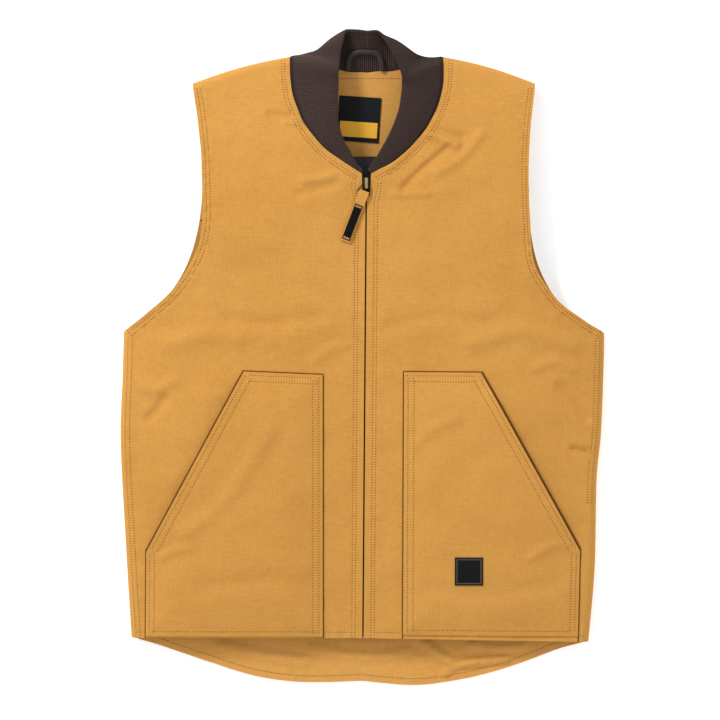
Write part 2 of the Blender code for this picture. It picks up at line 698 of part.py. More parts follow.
def make_teeth():
    """The closed chain of teeth, from the hem to the slider's foot."""
    skirt, chest = zip_heights()
    end = slider_foot() - 2 * SEAM_GAP
    rows = [y for y in [*skirt, *chest] if y < end] + [end]
    points = []
    for y in rows:
        beside = np.array([(zip_middle(y) + sign * zip_half_gap(y), y) for sign in SIDES.values()])
        top = front_height(beside).min() - SHELL - 3 * SEAM_GAP
        for sign, depth in ((-1, 0), (1, 0), (1, TEETH_DEPTH), (-1, TEETH_DEPTH)):
            points.append((zip_middle(y) + sign * TEETH_WIDTH / 2, y, top - depth))
    faces = [(0, 1, 2, 3), tuple(i + 4 * (len(rows) - 1) for i in range(4))]
    for low in range(0, 4 * (len(rows) - 1), 4):
        faces += [(low + k, low + (k + 1) % 4, low + (k + 1) % 4 + 4, low + k + 4) for k in range(4)]
    add_object("zip_teeth", points, faces, ZIP_BRASS, 0.45, 0.9)


def prism(outline, bottom, top):
    """Points and faces of an upright solid on an outline."""
    count = len(outline)
    points = [(x, y, z) for z in (bottom, top) for x, y in outline]
    faces = [tuple(range(count)), tuple(range(count, 2 * count))]
    faces += [(k, (k + 1) % count, (k + 1) % count + count, k + count) for k in range(count)]
    return points, faces


def make_slider(centre):
    """The slider's shield-shaped body, with a bridge over its upper plate."""
    half, foot, long = SLIDER_WIDTH / 2, SLIDER_FOOT_WIDTH / 2, SLIDER_LENGTH / 2
    outline = [(-foot, -long), (foot, -long), (half, long / 3), (half, long * 0.72), (half * 0.6, long),
               (-half * 0.6, long), (-half, long * 0.72), (-half, long / 3)]
    slider = add_object("zip_slider", *prism(outline, -SLIDER_DEPTH, 0), ZIP_BRASS, 0.4, 0.95)
    slider.location = centre
    rise = PULLER_PLATE + 2 * SEAM_GAP
    span, inside = BRIDGE_LENGTH / 2, BRIDGE_LENGTH / 2 - BRIDGE_BAR
    profile = [(-span, -BRIDGE_BAR), (-inside, -BRIDGE_BAR), (-inside, rise), (inside, rise),
               (inside, -BRIDGE_BAR), (span, -BRIDGE_BAR), (span, rise), (inside, rise + BRIDGE_BAR),
               (-inside, rise + BRIDGE_BAR), (-span, rise)]
    bridge = add_object("bridge_form", *prism(profile, -BRIDGE_WIDTH / 2, BRIDGE_WIDTH / 2), ZIP_BRASS)
    bridge.location = centre
    bridge.rotation_euler = (math.pi / 2, 0, math.pi / 2)
    bridge.hide_render = True
    bridge.display_type = "WIRE"
    union = slider.modifiers.new("bridge", "BOOLEAN")
    union.operation = "UNION"
    union.object = bridge


def strap_turn():
    """Radius of the strap's middle where it turns round the ring's lower bar."""
    return math.hypot(PULLER_BAR, PULLER_PLATE) / 2 + 2 * SEAM_GAP + STRAP_PLY / 2


def puller_place():
    """Where the ring's upper bar is below the slider's middle, and how far on its lower bar is."""
    lean = abs(STRAP_HEADING + math.pi / 2)
    slant = BRIDGE_WIDTH / 2 * math.tan(lean) + PULLER_BAR / 2 / math.cos(lean)
    hung = BRIDGE_LENGTH / 2 - BRIDGE_BAR - slant - SEAM_GAP
    foot = SLIDER_LENGTH / 2 - hung + SLIDER_FOOT_WIDTH / 2 * math.tan(lean)
    return hung, foot / math.cos(lean) + strap_turn() + STRAP_PLY / 2 + SEAM_GAP


def make_puller(centre):
    """The flat metal ring under the slider's bridge, turned the way that its strap lies."""
    near, far = -PULLER_BAR / 2, puller_place()[1] + PULLER_BAR / 2
    top, foot = PULLER_TOP_WIDTH / 2, STRAP_WIDTH / 2 + PULLER_BAR + 3 * SEAM_GAP
    outer = [(near, -top), (far, -foot), (far, foot), (near, top)]
    near, far, top, foot = near + PULLER_BAR, far - PULLER_BAR, top - PULLER_BAR, foot - PULLER_BAR
    inner = [(near, -top), (far, -foot), (far, foot), (near, top)]
    points = [(x, y, z) for z in (-PULLER_PLATE / 2, PULLER_PLATE / 2) for x, y in [*outer, *inner]]
    faces = []
    for k in range(4):
        after = (k + 1) % 4
        faces += [(k, after, after + 4, k + 4), (k + 8, after + 8, after + 12, k + 12)]
        faces += [(k, after, after + 8, k + 8), (k + 4, after + 4, after + 12, k + 12)]
    puller = add_object("zip_puller", points, faces, ZIP_BRASS, 0.4, 0.95)
    puller.location = centre
    puller.rotation_euler = (0, 0, STRAP_HEADING)


def ribbon(name, path, thickness, width, place, colour):
    """A flat band of cloth along a path of lengthwise and upward steps, turned to the strap's heading."""
    path = np.array(path)
    run = np.gradient(path, axis=0)
    run /= np.linalg.norm(run, axis=1)[:, None]
    aside = np.column_stack([-run[:, 1], run[:, 0]]) * thickness / 2
    profile = np.vstack([path + aside, (path - aside)[::-1]])
    band = add_object(name, *prism(profile, -width / 2, width / 2), colour)
    band.location = place
    band.rotation_euler = (math.pi / 2, 0, STRAP_HEADING)


def make_strap(bar):
    """The duck strap folded round the ring's lower bar, and the label on its upper ply."""
    heading = np.array([math.cos(STRAP_HEADING), math.sin(STRAP_HEADING)])
    aside = np.array([-heading[1], heading[0]]) * STRAP_WIDTH / 2
    turn, level = strap_turn(), (STRAP_PLY + SEAM_GAP) / 2
    stations = np.linspace(0, STRAP_LENGTH, 10)
    under = [np.array([bar[:2] + heading * s + aside * w for w in (-1, 0, 1)]) for s in stations]
    rest = [front_height(xy).max() + STRAP_SEAT + level + STRAP_PLY / 2 - bar[2] for xy in under]
    ease = smoothstep(stations / (STRAP_LENGTH / 3))
    middle = np.array(rest) * ease
    half = turn + (level - turn) * ease
    upper = [(s, m + h) for s, m, h in zip(stations, middle, half)]
    lower = [(s, m - h) for s, m, h in zip(stations, middle, half)]
    bend = [(-turn * math.sin(a), -turn * math.cos(a)) for a in np.linspace(0, math.pi, 9)[1:-1]]
    ribbon("pull_strap", [*lower[::-1], *bend, *upper], STRAP_PLY, STRAP_WIDTH, bar, DUCK_TAN)
    covered = np.linspace(PULL_LABEL_START, PULL_LABEL_END, 7)
    clear = STRAP_PLY / 2 + 2 * SEAM_GAP + WOVEN_LABEL / 2
    heights = np.interp(covered, [p[0] for p in upper], [p[1] for p in upper]) + clear
    ribbon("pull_label", list(zip(covered, heights)), WOVEN_LABEL, PULL_LABEL_WIDTH, bar, LABEL_BLACK)


def make_zip_pull():
    """The slider, its ring, the strap and the strap's label."""
    y = slider_foot() + SLIDER_LENGTH / 2
    x = zip_middle(y)
    top = float(front_height(np.array([[x, y]]))[0]) + SLIDER_STANDING
    make_slider((x, y, top))
    hung, reach = puller_place()
    ring = np.array([x, y - hung, top + SEAM_GAP + PULLER_PLATE / 2])
    make_puller(ring)
    make_strap(ring + reach * np.array([math.cos(STRAP_HEADING), math.sin(STRAP_HEADING), 0]))


def centre_on_origin():
    """Moves everything so that the origin is under the middle of the vest, on the surface."""
    bpy.context.view_layer.update()
    shown = [obj for obj in bpy.data.objects if not obj.hide_render]
    corners = np.array([obj.matrix_world @ vertex.co for obj in shown for vertex in obj.data.vertices])
    low, high = corners.min(axis=0), corners.max(axis=0)
    shift = Matrix.Translation((-(low[0] + high[0]) / 2, -(low[1] + high[1]) / 2, -low[2]))
    for obj in bpy.data.objects:
        obj.matrix_world = shift @ obj.matrix_world


def main():
    clear_scene()
    panels = {}
    for side in SIDES:
        panels[side], cells = make_front(side)
        face, faces = make_pocket(side, panels[side], cells)
    patch = cut_out(face, faces, rectangle((PATCH_OUT, PATCH_UP), PATCH_SIZE, PATCH_SIZE))
    sheet("pocket_label", *patch, -SEAM_GAP - PATCH_THICKNESS, PATCH_THICKNESS, LABEL_BLACK)
    panels["back"], yoke = make_back()
    neck_y = back_neckline("right")[0][1]
    centre = (NECK_LABEL_SHIFT, neck_y - NECK_LABEL_DROP - NECK_LABEL_LENGTH / 2)
    label = rectangle(centre, NECK_LABEL_WIDTH, NECK_LABEL_LENGTH, NECK_LABEL_TURN)
    label = cut_out(panels["back"], yoke, label)
    sheet("neck_label", *label, SHELL + FACING + 3 * SEAM_GAP, WOVEN_LABEL, LABEL_BLACK)
    grid = make_collar(panels)
    make_hanger_loop(grid)
    make_teeth()
    make_zip_pull()
    centre_on_origin()


main()
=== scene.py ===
import math

import bpy
import numpy as np
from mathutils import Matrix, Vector
from mathutils.bvhtree import BVHTree


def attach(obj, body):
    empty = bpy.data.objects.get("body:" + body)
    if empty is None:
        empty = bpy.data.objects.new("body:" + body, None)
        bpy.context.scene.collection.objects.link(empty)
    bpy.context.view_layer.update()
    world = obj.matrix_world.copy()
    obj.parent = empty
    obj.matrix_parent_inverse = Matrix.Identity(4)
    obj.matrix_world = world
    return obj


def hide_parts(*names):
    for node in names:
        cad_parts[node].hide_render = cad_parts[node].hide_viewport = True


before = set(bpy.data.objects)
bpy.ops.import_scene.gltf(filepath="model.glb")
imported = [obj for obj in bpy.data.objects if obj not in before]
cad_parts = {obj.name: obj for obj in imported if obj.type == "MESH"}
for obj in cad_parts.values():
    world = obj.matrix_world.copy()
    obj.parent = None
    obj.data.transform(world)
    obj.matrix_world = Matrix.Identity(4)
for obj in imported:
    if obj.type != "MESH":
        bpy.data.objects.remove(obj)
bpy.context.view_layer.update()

print("frame loaded")

# The whole vest, in metres. Places on it are counted from the middle of the front hem.
vest = {
    "middle": (0.000447, -0.336405),
    "chestWidth": 0.577, "bodyLength": 0.695, "neckBase": 0.797,
    "crownRise": 0.0190, "crownReach": 0.150, "foldRadius": 0.0103, "zipLean": 0.0042,
    "shoulderBulge": 0.0034, "backNeckDrop": 0.0185, "tailDrop": 0.0565, "tailFade": 1.5,
    "shell": 0.0014, "lining": 0.0036, "facing": 0.0016, "gap": 0.0003,
}
halfChest, bodyLength = vest["chestWidth"] / 2, vest["bodyLength"]
foldRadius, shell, gap = vest["foldRadius"], vest["shell"], vest["gap"]
origin = np.append(vest["middle"], 0)
sides = {"right": -1, "left": 1}

# Outlines in thousandths of half the chest width, and of the body length above the hem: (across, up)
sideSeam = {
    "right": [(960, 0), (982, 150), (1005, 335), (997, 450), (992, 526)],
    "left": [(936, -7), (962, 120), (970, 270), (988, 350), (998, 450), (1002, 524)],
}
armhole = {
    "right": [(992, 526), (890, 560), (794, 598), (719, 655), (676, 729), (667, 815), (683, 888), (707, 954)],
    "left": [(1002, 524), (905, 549), (807, 582), (730, 640), (694, 712), (684, 789), (692, 872), (715, 954)],
}
neckline = {  # (across, thousandths of the way from the neck base up to the shoulder)
    "right": [(42, 50), (93, 118), (156, 212), (206, 325), (246, 438), (271, 557), (291, 675), (301, 828),
              (303.5, 1000)],
    "left": [(65, 35), (121, 94), (178, 187), (223, 281), (262, 384), (293, 498), (316, 616), (332, 759),
             (335, 882), (333, 1000)],
}
tail = {  # thousandths of the way out to the side, and of the tail's drop
    "right": [(0, 935), (260, 955), (460, 830), (670, 520), (860, 200), (1000, 0)],
    "left": [(0, 935), (220, 1000), (420, 880), (640, 600), (860, 190), (1000, 0)],
}
pocketOutline = {
    "right": [(166, 0), (166, 452), (491, 458), (896, 148), (899, 0)],
    "left": [(166, 3), (170, 457), (487, 456), (898, 150), (890, 0)],
}
crown = [(-100, 200), (0, 250), (150, 550), (400, 950), (650, 1000), (800, 920), (1000, 700)]
broadFolds = [  # (across, up, heading in degrees, length, width, depth as a share of the crown)
    (-0.66, 0.48, 62, 0.15, 0.060, -0.10), (-0.40, 0.74, 12, 0.17, 0.065, 0.08),
    (-0.30, 0.62, -8, 0.20, 0.060, -0.07), (0.30, 0.77, 38, 0.13, 0.060, 0.09),
    (0.36, 0.60, 6, 0.22, 0.065, -0.08), (0.72, 0.49, -40, 0.15, 0.060, -0.08),
]


# small helpers

def linearColour(hexText):
    parts = [int(hexText[i:i + 2], 16) / 255 for i in (1, 3, 5)]
    return tuple(c / 12.92 if c <= 0.04045 else ((c + 0.055) / 1.055) ** 2.4 for c in parts) + (1.0,)


def curveThrough(points, steps=24):
    points = np.array(points, float)
    ends = np.vstack([2 * points[0] - points[1], points, 2 * points[-1] - points[-2]])
    t = np.linspace(0, 1, steps, endpoint=False)[:, None]
    spans = [b + 0.5 * t * (c - a + t * (2 * a - 5 * b + 4 * c - d + t * (3 * b - a - 3 * c + d)))
             for a, b, c, d in zip(ends, ends[1:], ends[2:], ends[3:])]
    return np.vstack([*spans, points[-1:]])


def runOf(curve):
    return np.concatenate([[0], np.cumsum(np.linalg.norm(np.diff(curve, axis=0), axis=1))])


def sampled(values, places, marks):
    return np.column_stack([np.interp(marks, places, axis) for axis in values.T])


def along(curve, shares):
    run = runOf(curve)
    return sampled(curve, run, np.asarray(shares) * run[-1])


def smoothStep(x):
    x = np.clip(x, 0, 1)
    return x * x * (3 - 2 * x)


def dome(distance, reach):
    return np.exp(-(distance / reach) ** 2)


def unit(vectors):
    return vectors / np.maximum(np.linalg.norm(vectors, axis=-1, keepdims=True), 1e-12)


def headingOf(angle):
    return np.array([math.cos(angle), math.sin(angle)])


def thousandths(points):
    return np.array(points) / 1000


def placed(points, sign):
    return thousandths(points) * (sign * halfChest, bodyLength)


def lineDistance(xy, line):
    nearest = np.full(len(xy), np.inf)
    for a, b in zip(line, line[1:]):
        span = b - a
        share = np.clip(((xy - a) @ span) / max(span @ span, 1e-12), 0, 1)
        nearest = np.minimum(nearest, np.linalg.norm(xy - a - share[:, None] * span, axis=1))
    return nearest


def ripple(xy, size, seed, stretch=1.0, turn=0.0):  # smooth unevenness of about this size, from -1 to 1
    c, s = headingOf(turn)
    u = (xy[:, 0] * c + xy[:, 1] * s) / (size * stretch)
    v = (-xy[:, 0] * s + xy[:, 1] * c) / size
    total = np.zeros(len(xy))
    for k in range(7):
        a = 2.399 * (k + 1) + seed * 1.7
        f = 0.7 + 0.13 * k
        total += np.sin(2 * math.pi * f * (u * math.cos(a) + v * math.sin(a)) + seed * (k + 1.3) * 2.1)
    return total / 4


# outlines of the laid vest

zipValues = {
    "halfGap": 0.0009, "neckHalfGap": 0.0054, "tapeWidth": 0.0125, "tape": 0.0010, "teethWidth": 0.0052,
    "sliderLength": 0.0150, "sliderWidth": 0.0084, "sliderToNeck": 0.0040,
}
neckBaseY = vest["neckBase"] * bodyLength
sliderFootY = neckBaseY - zipValues["sliderToNeck"] - zipValues["sliderLength"]


def zipMiddle(y):
    return vest["zipLean"] * y / neckBaseY


def zipHalfGap(y):
    beside = zipValues["sliderWidth"] / 2 + 2 * gap
    opening = smoothStep((y - sliderFootY) / zipValues["sliderLength"] + 0.9)
    upper = smoothStep((y - sliderFootY) / (neckBaseY - sliderFootY))
    width = zipValues["halfGap"] + (beside - zipValues["halfGap"]) * opening
    return width + (zipValues["neckHalfGap"] - beside) * upper


def zipEdge(side, y):
    return np.column_stack([zipMiddle(y) + sides[side] * zipHalfGap(y), y])


def neckPoints(side):
    points = thousandths(neckline[side])
    points[:, 1] = vest["neckBase"] + points[:, 1] * (1 - vest["neckBase"])
    return points * (sides[side] * halfChest, bodyLength)


def backNeck(side):
    point = neckPoints(side)[-1]
    middle = np.array([zipMiddle(point[1]), point[1] - vest["backNeckDrop"]])
    return curveThrough([middle, middle + (point - middle) * np.array([0.62, 0.30]), point])


def shoulder(side):
    start, end = neckPoints(side)[-1], armholeCurve[side][-1]
    share = np.linspace(0, 1, 48)[:, None]
    return start + (end - start) * share + np.array([0, vest["shoulderBulge"]]) * np.sin(math.pi * share)


seamCurve = {side: curveThrough(placed(sideSeam[side], sign)) for side, sign in sides.items()}
armholeCurve = {side: curveThrough(placed(armhole[side], sign)) for side, sign in sides.items()}
neckCurve = {side: curveThrough(np.vstack([zipEdge(side, np.array([neckBaseY])), neckPoints(side)]))
             for side in sides}
armpitY = seamCurve["right"][-1, 1]
backNeckY = backNeck("right")[0, 1]
armholeEase = {"right": (0.0066, 0.472, 0.050), "left": (0.0056, 0.446, 0.036)}  # front inside the back here


def frontArmhole(side):
    depth, middle, reach = armholeEase[side]
    curve = armholeCurve[side].copy()
    curve[:, 0] -= sides[side] * depth * dome(curve[:, 1] - middle, reach)
    return curve


foldLines = [*seamCurve.values(), *[shoulder(side) for side in sides]]
crownCurve = curveThrough(thousandths(crown))


def foldDistance(xy):
    return np.min([lineDistance(xy, line) for line in foldLines], axis=0)


def foldCalm(xy, radii):  # 0 at the folded sides and shoulders, 1 away from them
    return smoothStep(foldDistance(xy) / (radii * foldRadius))


def roundRise(distance):
    inside = 1 - np.clip(distance / foldRadius, 0, 1)
    return foldRadius * np.sqrt(1 - inside ** 2)


# wrinkles: a path of (x, y) in mm, half width in mm, height in mm (a hollow is negative)
frontCreases = [
    ([(38, 590), (70, 602), (112, 588)], 7, 1.6), ([(48, 536), (72, 560), (100, 584)], 6, -1.3),
    ([(36, 530), (52, 529), (76, 529)], 5, 1.0), ([(60, 600), (84, 606), (118, 598)], 5, -1.0),
    ([(90, 556), (118, 574), (140, 600)], 9, 1.1), ([(30, 560), (48, 575), (62, 592)], 6, 0.9),
    ([(-110, 624), (-100, 623), (-90, 621)], 6, -1.1), ([(-92, 617), (-84, 616), (-76, 614)], 5, 0.9),
    ([(-70, 546), (-52, 548), (-36, 552)], 6, 1.1), ([(-76, 530), (-56, 534), (-34, 540)], 7, -1.0),
    ([(-256, 262), (-244, 274), (-236, 286)], 7, -1.6), ([(-262, 300), (-250, 296), (-226, 306)], 9, 1.0),
    ([(-230, 352), (-190, 362), (-150, 356)], 14, 1.0), ([(-160, 380), (-110, 376), (-50, 384)], 12, -0.9),
    ([(30, 372), (90, 384), (150, 376)], 12, -0.9), ([(130, 352), (190, 366), (250, 350)], 14, 1.1),
    ([(236, 300), (252, 286), (268, 262)], 8, -1.3), ([(206, 322), (228, 330), (252, 322)], 8, 0.9),
    ([(278, 216), (268, 222), (250, 226)], 5, -1.6),
    ([(-60, 330), (-40, 344), (-20, 350)], 9, 0.7), ([(20, 340), (34, 330), (46, 322)], 8, -0.7),
]
creaseValues = {"height": 2.2, "width": 0.8, "skirt": 2.2}  # the skirt is the soft hollow beside each crease


def creaseRelief(xy, creases):
    relief = np.zeros(len(xy))
    for path, width, height in creases:
        distance = lineDistance(xy, curveThrough(thousandths(path), 6))
        width = creaseValues["width"] * width / 1000
        profile = 1.5 * dome(distance, width) - 0.5 * dome(distance, creaseValues["skirt"] * width)
        relief += creaseValues["height"] * height / 1000 * profile
    return relief


def broadRelief(xy):
    relief = np.zeros(len(xy))
    for across, up, heading, length, width, depth in broadFolds:
        offset = xy - np.array([across * halfChest, up * bodyLength])
        c, s = headingOf(math.radians(heading))
        lengthwise = offset @ np.array([c, s]) / (length * vest["chestWidth"])
        crosswise = offset @ np.array([-s, c]) / (width * vest["chestWidth"])
        relief += depth * vest["crownRise"] * np.exp(-2 * (lengthwise ** 2 + crosswise ** 2))
    return relief


stitchSink = {"depth": 0.00022, "reach": 0.0012}


def puckers(xy, lines, size, height, reach):
    relief = np.zeros(len(xy))
    for number, line in enumerate(lines):
        distance = lineDistance(xy, line)
        near = dome(distance, reach)
        hit = near > 0.02
        relief[hit] += near[hit] * height * ripple(xy[hit], size, number + 3.0)
        relief[hit] -= stitchSink["depth"] * dome(distance[hit], stitchSink["reach"])
    return relief


def offsetLine(curve, distance):  # the curve moved sideways, to its left where the distance is positive
    run = unit(np.gradient(curve, axis=0))
    return curve + distance * np.column_stack([-run[:, 1], run[:, 0]])


def seamPair(curve, low, high, *offsets):  # stitch lines beside a curve, between two shares of its length
    return [along(offsetLine(curve, offset), np.linspace(low, high, 60)) for offset in offsets]


# stitch lines on the fronts: the first and last share of the seam, and how far each line lies beside it
seamPlan = {
    side: {"zip": (0.0, 0.985, -0.0085, -0.0125), "neck": (0.02, 0.985, -0.0062, -0.0098),
           "arm": (0.012, 0.985, *arm), "side": (start, 0.99, 0.0060, 0.0112), "hem": (0.03, 0.985, 0.0072)}
    for side, arm, start in (("right", (0.0046, 0.0092), 0.0), ("left", (0.0036, 0.0078), 0.45))
}
seamPuckers = {  # puckers of the cloth along them: (size, height, reach)
    "zip": (0.016, 0.00030, 0.006), "neck": (0.011, 0.00040, 0.006), "arm": (0.013, 0.00060, 0.007),
    "side": (0.020, 0.00070, 0.008), "hem": (0.024, 0.00060, 0.008),
}
seamRows = {}
for side, sign in sides.items():
    hem = np.array([(zipMiddle(0) + sign * 0.0013, 0.0), seamCurve[side][0]])
    curves = {"zip": zipEdge(side, np.linspace(0, neckBaseY, 160)), "neck": neckCurve[side],
              "arm": frontArmhole(side), "side": seamCurve[side], "hem": hem}
    seamRows[side] = {kind: seamPair(curves[kind], low, high, *(sign * d for d in offsets))
                      for kind, (low, high, *offsets) in seamPlan[side].items()}


def frontHeight(xy):
    distance = foldDistance(xy)
    fullness = np.interp(xy[:, 1] / bodyLength, crownCurve[:, 0], crownCurve[:, 1])
    ease = np.sin(np.clip(distance / vest["crownReach"], 0, 1) * math.pi / 2)
    body = foldRadius + gap + roundRise(distance)
    folds = smoothStep(distance / (3 * foldRadius)) * broadRelief(xy)
    return body + fullness * vest["crownRise"] * ease + folds


# soft unevenness of the fronts: (height, size, seed, stretch, turn)
frontWaves = [(0.0011, 0.085, 2.0, 1.6, 0.2), (0.00055, 0.034, 5.0, 1.5, -0.3)]


def frontRelief(xy, side):
    zipCalm = smoothStep((np.abs(xy[:, 0] - zipMiddle(xy[:, 1])) - 0.006) / 0.02)
    soft = sum(height * ripple(xy, *waves) for height, *waves in frontWaves)
    edges = sum(puckers(xy, lines, *seamPuckers[kind]) for kind, lines in seamRows[side].items())
    return foldCalm(xy, 2) * (zipCalm * (soft + creaseRelief(xy, frontCreases)) + edges)


def frontSurface(xy, side):
    return frontHeight(xy) + frontRelief(xy, side)


# cloth meshes

def material(name):
    return bpy.data.materials.get(name) or bpy.data.materials.new(name)


def newPiece(name, points, faces, finish, uv=None):  # uv gives each point its place on the flat piece
    mesh = bpy.data.meshes.new(name)
    mesh.from_pydata((points + origin).tolist(), [], faces)
    mesh.update()
    if uv is not None:
        index = np.empty(len(mesh.loops), int)
        mesh.loops.foreach_get("vertex_index", index)
        mesh.uv_layers.new(name="cut").data.foreach_set("uv", uv[index].ravel())
    mesh.materials.append(material(finish))
    mesh.shade_smooth()
    piece = bpy.data.objects.new(name, mesh)
    bpy.context.scene.collection.objects.link(piece)
    return piece


def normalsOf(grid):  # pointing up
    normal = unit(np.cross(np.gradient(grid, axis=1), np.gradient(grid, axis=0)))
    return normal * np.sign(np.sum(normal[..., 2]))


def closedCloth(name, top, bottom, finish, uv=None, keep=None, welds=()):
    # two grids of points joined round their rim; keep leaves cells out, welds makes two points one
    rows, cols = top.shape[:2]
    count = rows * cols
    ids = np.arange(count).reshape(rows, cols)
    for row, taken, kept in welds:
        ids[row, taken] = ids[row, kept]
    quads = np.stack([ids[:-1, :-1], ids[:-1, 1:], ids[1:, 1:], ids[1:, :-1]], axis=-1)
    quads = quads.reshape(-1, 4) if keep is None else quads[keep]
    edges = np.vstack([quads[:, [k, (k + 1) % 4]] for k in range(4)])
    pairs = np.sort(edges, axis=1) @ np.array([count, 1])
    _, first, uses = np.unique(pairs, return_index=True, return_counts=True)
    rim = edges[first[uses == 1]]
    faces = np.vstack([quads, quads[:, ::-1] + count, np.column_stack([rim[:, ::-1], rim + count])])
    used, faces = np.unique(faces, return_inverse=True)
    points = np.vstack([top.reshape(-1, 3), bottom.reshape(-1, 3)])
    a, b, c = (points[quads[:, k]] for k in range(3))
    outward = np.sum(np.cross(b - a, c - a) * (top - bottom).reshape(-1, 3)[quads[:, 0]])
    flat = None if uv is None else np.vstack([uv.reshape(-1, 2)] * 2)[used]
    piece = newPiece(name, points[used], faces.reshape(-1, 4).tolist(), finish, flat)
    if outward < 0:
        piece.data.flip_normals()
    piece.data.set_sharp_from_angle(angle=math.radians(50))
    return piece


def declare(piece, slotName, node=None, **sheet):
    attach(piece, "root")
    if node:
        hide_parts(node)


foldRows = [foldRadius * (1 - math.cos(math.radians(a))) for a in (90, 75, 60, 45, 30, 15, 0)]


def spread(length, starts, step):  # distances along a line that ends in a fold, finest at both ends
    count = max(2, int((length - foldRows[0] - starts[-1]) / step))
    middle = np.linspace(starts[-1], length - foldRows[0], count + 1)
    return np.concatenate([starts[:-1], middle, length - np.array(foldRows[1:])]) / length


def towardFold(shares, inner, outer):  # shares of the inner line taken to an outer one of another length
    ends = 1 - (1 - shares[-6:]) * inner / outer
    return np.interp(shares, [0, shares[-7], *shares[-6:]], [0, 1 - foldRadius / outer, *ends])


def fitted(pattern, width, low):  # a pattern of columns brought to this width, its two ends unchanged
    high = pattern[-1] - foldRadius
    middle = low + (pattern - low) * (width - foldRadius - low) / (high - low)
    folded = np.where(pattern >= high, pattern - pattern[-1] + width, middle)
    return np.where(pattern <= low, pattern, folded) / width


def bulgeOf(y, third):
    return np.concatenate([np.zeros(len(y)), smoothStep(third)]) * vest["shoulderBulge"]


def lifted(grid, height):
    return np.dstack([grid, height(grid.reshape(-1, 2)).reshape(grid.shape[:2])])


frontCloth = {"step": 0.0034, "hemTurn": 0.022, "hemThickness": 0.0027, "width": 0.29}
hemRows = [0, 0.0016, 0.0036, 0.0062, 0.0072, 0.0082, 0.011]
zipColumns = [0, 0.0012, 0.003, 0.0055, 0.0075, 0.0085, 0.0095, 0.0115, 0.0125, 0.0135, 0.016]


def frontGrid(side, step):
    neck, arm = neckCurve[side], frontArmhole(side)
    first = np.concatenate([hemRows, np.arange(0.0145, armpitY, step)])
    first = np.append(first[first < armpitY - step / 2], armpitY) / armpitY
    second = np.linspace(0, 1, int((neckBaseY - armpitY) / step))[1:]
    third = spread(runOf(neck)[-1], [0.0], step)[1:]
    y = np.concatenate([first * armpitY, armpitY + second * (neckBaseY - armpitY)])
    inner = np.vstack([zipEdge(side, y), along(neck, third)])
    upper = towardFold(third, runOf(neck)[-1], runOf(arm)[-1] / 2)
    outer = np.vstack([along(seamCurve[side], first), along(arm, second * 0.5),
                       along(arm, 0.5 + 0.5 * upper)])
    pattern = spread(frontCloth["width"], zipColumns, step) * frontCloth["width"]
    shares = np.array([fitted(pattern, w, zipColumns[-1]) for w in np.linalg.norm(outer - inner, axis=1)])
    grid = inner[:, None] + (outer - inner)[:, None] * shares[..., None]
    grid[..., 1] += bulgeOf(y, third)[:, None] * np.sin(math.pi * shares)
    return grid, len(first)


surfaces = {}  # the cloth pieces that stitches lie on
frontGrids = {}
for side in sides:
    grid, armpitRow = frontGrid(side, frontCloth["step"])
    top = lifted(grid, lambda xy: frontSurface(xy, side))
    normal = normalsOf(top)
    normal[:armpitRow, -1, 2] = 0
    normal = unit(normal)
    turned = smoothStep((frontCloth["hemTurn"] - grid[..., 1]) / 0.003)
    thickness = shell + (frontCloth["hemThickness"] - shell) * turned
    frontGrids[side] = (grid, top, normal)
    piece = closedCloth(f"{side}Front", top, top - normal * thickness[..., None], "duck canvas front")
    surfaces[f"{side}Front"] = piece
    declare(piece, "duck", f"front_{side}", flat=(0.30, 0.72), area=0.165)
print("fronts laid")


# back, with the drop tail

backCloth = {"step": 0.0040, "tailStep": 0.0020, "tailReach": 0.058, "width": 0.28, "armShare": 0.78}
tailCreases = [
    ([(62, 4), (78, -10), (106, -31)], 5, 1.7), ([(98, -43), (118, -33), (172, -27)], 5, 1.8),
    ([(78, -28), (92, -36), (104, -37)], 5, -1.2), ([(50, -6), (64, -12), (80, -24)], 5, -1.0),
    ([(112, -24), (126, -23), (150, -20)], 5, -1.3), ([(-170, -12), (-120, -22), (-70, -30)], 9, 1.1),
    ([(-60, -14), (0, -24), (50, -20)], 8, 1.0), ([(130, -10), (160, -14), (190, -12)], 6, 1.0),
]


def tailDroop(side, across):
    curve = curveThrough(thousandths(tail[side]))
    return vest["tailDrop"] * np.interp(across, curve[:, 0], curve[:, 1])


def backGrid(side, step):
    arm, neck = armholeCurve[side], backNeck(side)
    middleY, reach = neck[0][1], backCloth["tailReach"]
    first = np.concatenate([np.arange(0, reach, backCloth["tailStep"]), np.arange(reach, armpitY, step)])
    first = np.append(first[first < armpitY - step / 2], armpitY) / armpitY
    second = np.linspace(0, 1, int((middleY - armpitY) / step))[1:]
    third = spread(runOf(backNeck("right"))[-1], [0.0], step)[1:]
    split = (middleY - armpitY) / (bodyLength - armpitY) * backCloth["armShare"]
    y = np.concatenate([first * armpitY, armpitY + second * (middleY - armpitY)])
    inner = np.vstack([np.column_stack([zipMiddle(y), y]), along(neck, third)])
    upper = towardFold(third, runOf(neck)[-1], runOf(arm)[-1] * (1 - split))
    outer = np.vstack([along(seamCurve[side], first), along(arm, second * split),
                       along(arm, split + (1 - split) * upper)])
    bulge = bulgeOf(y, third)
    pattern = spread(backCloth["width"], [0.0], step) * backCloth["width"]
    grid = []
    for k, (a, b) in enumerate(zip(inner, outer)):
        row = fitted(pattern, np.linalg.norm(b - a), 0)
        line = a + (b - a) * row[:, None]
        line[:, 1] += bulge[k] * np.sin(math.pi * row)
        if k < len(first):
            line[:, 1] -= tailDroop(side, row) * (1 - first[k]) ** vest["tailFade"]
        grid.append(line)
    return np.array(grid), len(first), len(y)


